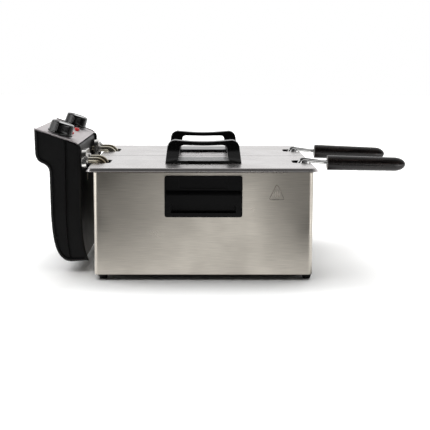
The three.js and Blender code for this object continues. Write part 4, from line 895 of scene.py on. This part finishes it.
def tinted_metal(name, colours, roughness, size):
    """Metal whose colour drifts between three heat tints over a slow noise, with a fine drawn grain."""
    made = brushed_metal(name, colours[1], roughness, (300, 300, 300), depth=0.15, change=0.12)
    tree = made.node_tree
    drift = noise(tree, tree.nodes["Texture Coordinate"].outputs["Object"], size)
    dark, middle, pale = [(*c, 1) for c in colours]
    drifting = stops(tree, drift, (0.36, dark), (0.66, pale), (0.5, middle))
    tree.links.new(drifting, tree.nodes["Vector Math"].inputs[0])
    return made


def there_and_back(half, y):
    """A whole route from its half: out on one side of the line at y, and back on the other."""
    return [(px, y - py, pz) for px, py, pz in half] + [(px, y + py, pz) for px, py, pz in half[::-1]]


plate_colour = (0.86, 0.85, 0.82)
polished_steel = brushed_metal("polished_steel", plate_colour, 0.16, (60, 60, 60), depth=0.0, change=0.05)
element_nickel = tinted_metal("element_nickel", heat_tints, 0.26, 26)
for sign, side in long_walls:
    y = sign * tank_pitch_half
    half = [
        (head_front - 6, leg, tube_exit),
        (drop_x, leg, tube_exit),
        (drop_x, leg, loop_z),
        (loop_start, leg, loop_z),
        (loop_start, loop_half, loop_z),
        (loop_end, loop_half, loop_z),
        (loop_end, leg, loop_z),
        (loop_turn, leg, loop_z),
    ]
    route = there_and_back(half, y)
    points, faces = path_tubes([bent_path(route, tube_bend, 10)], tube_radius, 18)
    node = f"{side}_heating_element"
    make_piece(f"{side}_element_tube", points, faces, element_nickel, "control_head", [node])
    dress(f"{side}_mounting_plate", polished_steel, 0.5, segments=3)
    dress(f"{side}_sensor_bulb", element_nickel, 0.3)
    for end in (-1, 1):
        place = facing_handles(head_front + collar_out, y + end * leg, tube_exit)
        points, faces = turned_ring(tube_collar, place, 24)
        name = f"{side}_tube_collar_{'outer' if end == sign else 'inner'}"
        make_piece(name, points, faces, satin_steel, "control_head")

# ---------------------------------------------------------------- baskets
# Each basket is a plated wire net: wires that run down one wall, under and up the other, both ways, with
# hoops round the walls, all welded to a thick rim. A bracket at one end takes the handle, and a hook at the
# other hangs it up.
net_wire, net_step_x, net_step_y, net_step_z = 0.65, 6.2, 6.2, 6.4
net_corner, net_bend, net_crease = 24, 7, 60


def basket_reach(at, half, corner):
    """How far a rounded corner draws in the wall beside a wire that stands `at` from the middle."""
    past = np.clip(np.abs(at) - (half - corner), 0, corner)
    return corner - np.sqrt(corner**2 - past**2)


def net_hoops(across, along, x, y, low, high, lengthwise):
    """Wires that go down a wall, across the floor and up the other wall, as one array of paths."""
    paths = []
    for at in across:
        reach = along[0] - basket_reach(at, along[1], net_corner)
        flat = [(-reach, high), (-reach, low), (reach, low), (reach, high)]
        if lengthwise:
            corners_here = [(x + s, y + at, z) for s, z in flat]
        else:
            corners_here = [(x + at, y + s, z) for s, z in flat]
        paths.append(bent_path(corners_here, net_bend, 6))
    return np.array(paths)


plated_wire = brushed_metal("plated_wire", (0.74, 0.74, 0.73), 0.2, (90, 90, 90), depth=0.05, change=0.2)
for sign, side in long_walls:
    y = sign * tank_pitch_half
    low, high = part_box(f"{side}_basket")
    x = (low.x + high.x) * 500 - middle_x * 1000
    half_x = (high.x - low.x) * 500 - net_wire * 2
    half_y = (high.y - low.y) * 500 - net_wire * 2
    floor_z, top_z = low.z * 1000 + net_wire, high.z * 1000 + 1.2
    count_x, count_y = int(half_x * 2 / net_step_x), int(half_y * 2 / net_step_y)
    xs = np.linspace(-half_x + 3, half_x - 3, count_x)
    ys = np.linspace(-half_y + 3, half_y - 3, count_y)
    upper_z = floor_z + net_wire * 1.4
    crosswise = net_hoops(xs, (half_y, half_x), x, y, floor_z, top_z, False)
    lengthwise = net_hoops(ys, (half_x, half_y), x, y, upper_z, top_z, True)
    levels = np.arange(floor_z + 9, top_z - 3, net_step_z)
    hoops = np.array([ring_about(x, y, half_x, half_y, net_corner, z, steps=7) for z in levels])
    parts = [path_tubes(crosswise, net_wire, 6), path_tubes(lengthwise, net_wire, 6)]
    parts.append(path_tubes(hoops, net_wire, 6, meets=True))
    points = np.concatenate([p for p, _ in parts])
    starts = np.cumsum([0, *[len(p) for p, _ in parts]])
    faces = [tuple(int(i + s) for i in f) for (_, part), s in zip(parts, starts) for f in part]
    body = f"{side}_basket"
    make_piece(f"{side}_net", points, faces, plated_wire, body, [body], net_crease)
    low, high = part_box(f"{side}_basket_rim")
    rim_r = (high.z - low.z) * 500
    rim = rectangle_ring(
        low.x * 1000 - middle_x * 1000 + rim_r,
        high.x * 1000 - middle_x * 1000 - rim_r,
        low.y * 1000 + rim_r,
        high.y * 1000 - rim_r,
        net_corner,
        low.z * 1000 + rim_r,
        steps=10,
    )
    points, faces = path_tubes([rim], rim_r, 14, meets=True)
    make_piece(f"{side}_rim", points, faces, plated_wire, body, [f"{body}_rim"], net_crease)
    dress(f"{side}_basket_bracket", satin_steel, 0.4)
    dress(f"{side}_drain_hook", satin_steel, 0.4)

# ---------------------------------------------------------------- basket handles
# One plated wire each, up from the bracket, out over the rim, and into a dark phenolic grip with a steel pin
# at its end. The two legs draw together towards the grip.
wire_radius, wire_spread, wire_close, wire_bend = 2.1, 14.5, 7.5, 4.6
wire_x, wire_bottom, wire_rise = 135.6, 100, 148
knee_x, knee_z, wire_end = 142, 158.6, 203
grip_start, grip_height, grip_length, grip_radius, grip_taper = 177.7, 154.2, 112.6, 10.65, 0.75
grip_droop = {"left": 1.2, "right": 2.0}
grip_edge, nose_length, nose_shape = 1.3, 17, 0.95


def streaked_phenolic(name, colour, streak):
    """Dark phenolic moulding with faint pale flow lines drawn out lengthwise, and a satin skin."""
    made = plastic(name, colour, 0.27, pebble=700, depth=0.08, shine=0.45)
    tree = made.node_tree
    flow = drawn_noise(tree, tree.nodes["Texture Coordinate"].outputs["Object"], (14, 900, 900), 3)
    streaked = stops(tree, flow, (0.45, (*colour, 1)), (0.8, (*streak, 1)))
    tree.links.new(streaked, tree.nodes["Vector Math"].inputs[0])
    return made


phenolic = streaked_phenolic("grip_phenolic", (0.0035, 0.0026, 0.0024), (0.03, 0.021, 0.018))
for sign, side in long_walls:
    y = sign * tank_pitch_half
    leg_route = [
        (wire_x, wire_spread, wire_bottom + 0.2),
        (wire_x, wire_spread, wire_rise),
        (knee_x, wire_spread, knee_z),
        (grip_start - 6, wire_close, grip_height + 1),
        (wire_end - 4, wire_close, grip_height + 0.4),
    ]
    points, faces = path_tubes([bent_path(there_and_back(leg_route, y), wire_bend, 8)], wire_radius, 16)
    body = f"{side}_basket"
    make_piece(f"{side}_wire", points, faces, plated_wire, body, [f"{side}_handle_wire"], 50)
    droop = math.radians(grip_droop[side])
    out = np.array([math.cos(droop), 0, -math.sin(droop)])
    rows = np.array([[math.sin(droop), 0, math.cos(droop)], [0, 1, 0], out])
    rows[1] = np.cross(rows[2], rows[0])
    place = (np.array([grip_start, y, grip_height]), rows)
    nose = np.radians(np.linspace(0, 84, 12))
    thin, shoulder = grip_radius - grip_taper, grip_length - nose_length
    straight = shoulder - grip_edge
    profile = [(0, 0.5), (6, 0.5), (7.5, 0), (grip_radius - grip_edge, 0), (grip_radius - 0.3, 0.4)]
    profile += [(grip_radius - grip_taper * k / 6, grip_edge + straight * k / 6) for k in range(6)]
    profile += [(thin * math.cos(t) ** nose_shape, shoulder + nose_length * math.sin(t)) for t in nose]
    profile += [(2.3, grip_length - 0.3), (2.3, grip_length - 3), (0, grip_length - 3)]
    points, faces = turned(profile, place, 40)
    make_piece(f"{side}_grip_moulding", points, faces, phenolic, body, [f"{side}_grip"], 40)
    pin = [(0, grip_length - 6), (2.1, grip_length - 6), (2.1, grip_length - 1.1), (1.6, grip_length - 0.5)]
    points, faces = turned([*pin, (0, grip_length - 0.42)], place, 24)
    make_piece(f"{side}_pin", points, faces, plated_wire, body, [f"{side}_grip_pin"])

# ---------------------------------------------------------------- lids
# A pressed lid of satin stainless over each tank: flat top, a skirt that flares outwards on three sides and
# stands straight on the side between the lids, notches for the tubes and the handle, and a collar that
# centres it.
lid_fold, lid_corner, lid_flare, lid_skirt = 1.3, 6, 4, 4.5
lid_head_end, lid_handle_end, lid_inner = -156, 152, 1
tube_notch_x, tube_notch_half, wire_notch_x, wire_notch_half = -132, 25, 127, 19.5
notch_corner, lid_sheet, collar_inset = 7, 0.9, 3


def with_normals(x, y, radius, start, end, steps=7):
    """An arc's points, each with the direction that looks away from its centre."""
    a = np.radians(np.linspace(start, end, steps + 1))
    away = np.stack([np.cos(a), np.sin(a)], -1)
    return np.column_stack([np.array([x, y]) + radius * away, away])


def lid_outline(outer_y, y):
    """The lid's flat outline for the right tank, point by point: x, y, then which way and how far its skirt
    may flare there. Rows inside a notch have no skirt, and say so in a fifth column."""
    c, n = lid_corner, notch_corner
    head, handle = lid_head_end, lid_handle_end
    a, b = tube_notch_half, wire_notch_half
    outer = np.concatenate(
        [
            [(handle, y + b, 1, 0)],
            with_normals(handle - c, outer_y - c, c, 0, 90),
            with_normals(head + c, outer_y - c, c, 90, 180),
            [(head, y + a, -1, 0)],
        ]
    )
    tube_notch = np.concatenate(
        [
            with_normals(tube_notch_x - n, y + a - n, n, 90, 0),
            with_normals(tube_notch_x - n, y - a + n, n, 0, -90),
        ]
    )
    inner = np.array(
        [
            (head, y - a, -1, 0),
            (head, lid_inner + 0.8, -1, 0),
            (head + 0.8, lid_inner, -0.3, 0),
            (handle - 0.8, lid_inner, 0.3, 0),
            (handle, lid_inner + 0.8, 1, 0),
            (handle, y - b, 1, 0),
        ]
    )
    wire_notch = np.concatenate(
        [
            with_normals(wire_notch_x + n, y - b + n, n, -90, -180),
            with_normals(wire_notch_x + n, y + b - n, n, 180, 90),
        ]
    )
    flag = lambda rows, on: np.column_stack([rows, np.full(len(rows), on)])
    return np.concatenate([flag(outer, 1), flag(tube_notch, 0), flag(inner, 1), flag(wire_notch, 0)])


lid_steel = brushed_metal(
    "lid_steel",
    (0.60, 0.575, 0.57),
    0.26,
    (7, 1500, 40),
    depth=0.05,
    change=0.08,
    spread=0.05,
)
for sign, side in long_walls:
    low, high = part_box(f"{side}_lid")
    top = high.z * 1000
    outer_y = max(abs(low.y), abs(high.y)) * 1000 - lid_flare
    rows = lid_outline(outer_y, tank_pitch_half)
    folds = [(lid_fold * 0.45, 0.12), (lid_fold * 0.85, 0.5), (lid_fold * 1.15, 1.1)]
    folds += [(lid_flare - 0.35, lid_skirt - 0.55), (lid_flare, lid_skirt)]
    skirted = rows[:, 4] == 1
    tiers = [rows[:, :2]] + [rows[:, :2] + rows[:, 2:4] * d * skirted[:, None] for d, _ in folds]
    heights = [top] + [np.where(skirted, top - drop, top - 0.1) for _, drop in folds]
    count = len(rows)
    levels = [np.column_stack([xy, np.broadcast_to(z, count)]) for xy, z in zip(tiers, heights)]
    points = np.concatenate(levels)
    points[:, 1] *= sign
    faces = grid_faces(len(tiers), count, columns_meet=True).reshape(len(folds), count, 4)
    both = skirted & np.roll(skirted, -1)
    faces = faces[:, both].reshape(-1, 4).tolist()
    if sign > 0:
        faces = [f[::-1] for f in faces]
    faces.append(tuple(range(count)) if sign > 0 else tuple(range(count))[::-1])
    used = np.zeros(len(points), bool)
    used[np.concatenate([np.array(f) for f in faces])] = True
    fresh = np.cumsum(used) - 1
    faces = [tuple(int(fresh[i]) for i in f) for f in faces]
    body = f"{side}_lid"
    cover = make_piece(f"{side}_cover", points[used], faces, lid_steel, body, [body], 40)
    thicken(cover, lid_sheet)
    collar_x, collar_y = tank_half_x - collar_inset, tank_half_y - collar_inset
    y = sign * tank_pitch_half
    notches = (y - tube_notch_half, y - wire_notch_half, y + wire_notch_half, y + tube_notch_half)
    corner = tank_corner - collar_inset
    rings = np.array(
        [
            ring_about(0, y, collar_x, collar_y, corner, top - drop, marks_y=notches)
            for drop in (1.0, 10.8, 11.6)
        ]
    )
    rings[2, :, :2] = (rings[2, :, :2] - (0, y)) * 0.996 + (0, y)
    collar_points = rings.reshape(-1, 3)
    faces = grid_faces(3, rings.shape[1], columns_meet=True)
    centre = collar_points[faces].mean(1)
    in_tubes = (centre[:, 0] < -collar_x + 2) & (abs(centre[:, 1] - y) < tube_notch_half)
    in_wires = (centre[:, 0] > collar_x - 2) & (abs(centre[:, 1] - y) < wire_notch_half)
    faces = faces[~(in_tubes | in_wires)]
    collar = make_piece(f"{side}_collar", collar_points, faces, lid_steel, body)
    thicken(collar, lid_sheet)

# ---------------------------------------------------------------- lid handles
# A black bridge on each lid, moulded as one closed loop: a base that spreads along Y, two legs, and a top bar
# that sags slightly between its shoulders. Two screws come up into it from under the lid.
bridge_half, post_half, bridge_top, bridge_post = 53.7, 51.5, 31, 21
shoulder_half, bridge_sag = 41, 2.4
window_foot, window_head, window_base, window_top = 35.7, 33, 3.5, 23.8
depth_heights = (0, 2.5, 3.5, 16.3, 23.8, 31)
depth_halves = (29, 29, 26, 13, 9.5, 8.4)
bridge_round = 1.5


def half_loop(corner_points, counts):
    """One side of the loop from the base's middle to the bar's middle: straights, with a curve where three
    points are given."""
    parts = []
    for stretch, steps in zip(corner_points, counts):
        t = np.linspace(0, 1, steps, endpoint=False)[:, None]
        p = np.array(stretch, float)
        if len(p) == 2:
            parts.append(p[0] + (p[1] - p[0]) * t)
        else:
            parts.append((1 - t) ** 2 * p[0] + 2 * t * (1 - t) * p[1] + t**2 * p[2])
    return np.concatenate([*parts, [np.array(corner_points[-1][-1], float)]])


def whole(half):
    """The closed loop from its half and the mirrored half."""
    return np.concatenate([half, (half * (-1, 1))[-2:0:-1]])


outer_half = half_loop(
    [
        ((0, 0), (bridge_half, 0)),
        ((bridge_half, 0), (post_half, bridge_post)),
        ((post_half, bridge_post), (post_half - 1.2, bridge_top - 1.6), (shoulder_half, bridge_top)),
        ((shoulder_half, bridge_top), (16, bridge_top - bridge_sag), (0, bridge_top - bridge_sag)),
    ],
    (8, 10, 12, 12),
)
inner_half = half_loop(
    [
        ((0, window_base), (window_foot, window_base)),
        ((window_foot, window_base), (window_head, window_top - 5)),
        ((window_head, window_top - 5), (window_head, window_top), (window_head - 6, window_top)),
        ((window_head - 6, window_top), (0, window_top - 0.6)),
    ],
    (8, 10, 12, 12),
)
black_plastic = plastic("black_plastic", (0.0016, 0.0016, 0.0017), 0.24, depth=0.1, shine=0.45)
for sign, side in long_walls:
    y = sign * tank_pitch_half
    base_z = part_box(f"{side}_lid_handle")[0].z * 1000
    outer, inner = whole(outer_half), whole(inner_half)
    span = np.linalg.norm(outer - inner, axis=1, keepdims=True)
    quarter = np.radians(np.linspace(0, 90, 6))
    rise, run = 1 - np.sin(quarter), 1 - np.cos(quarter)
    section = []
    for towards_outer, towards_plus in ((1, 1), (0, 1), (0, -1), (1, -1)):
        first = (towards_outer == 1) == (towards_plus == 1)
        inset = (run[::-1], rise[::-1]) if first else (run, rise)
        section += [(towards_outer, towards_plus, u, v) for u, v in zip(*inset)]
    section = np.array(section)
    share = np.where(
        section[:, 0] == 1,
        1 - section[:, 3] * np.minimum(bridge_round / span, 0.45),
        section[:, 3] * np.minimum(bridge_round / span, 0.45),
    )
    flat = inner[:, None] + (outer - inner)[:, None] * share[..., None]
    half_depth = np.interp(flat[..., 1], depth_heights, depth_halves)
    beside = section[:, 1] * (half_depth - bridge_round * section[:, 2])
    points = np.stack([flat[..., 0], y + beside, base_z + flat[..., 1]], -1)
    rows_count, columns_count = points.shape[:2]
    faces = grid_faces(rows_count, columns_count, True, True)
    node = f"{side}_lid_handle"
    points = points.reshape(-1, 3)
    body = f"{side}_lid"
    make_piece(f"{side}_bridge", points, faces, black_plastic, body, [node], 40)
    for end in ("head", "handle"):
        dress(f"{side}_lid_screw_{end}_end", satin_steel, 0.3)
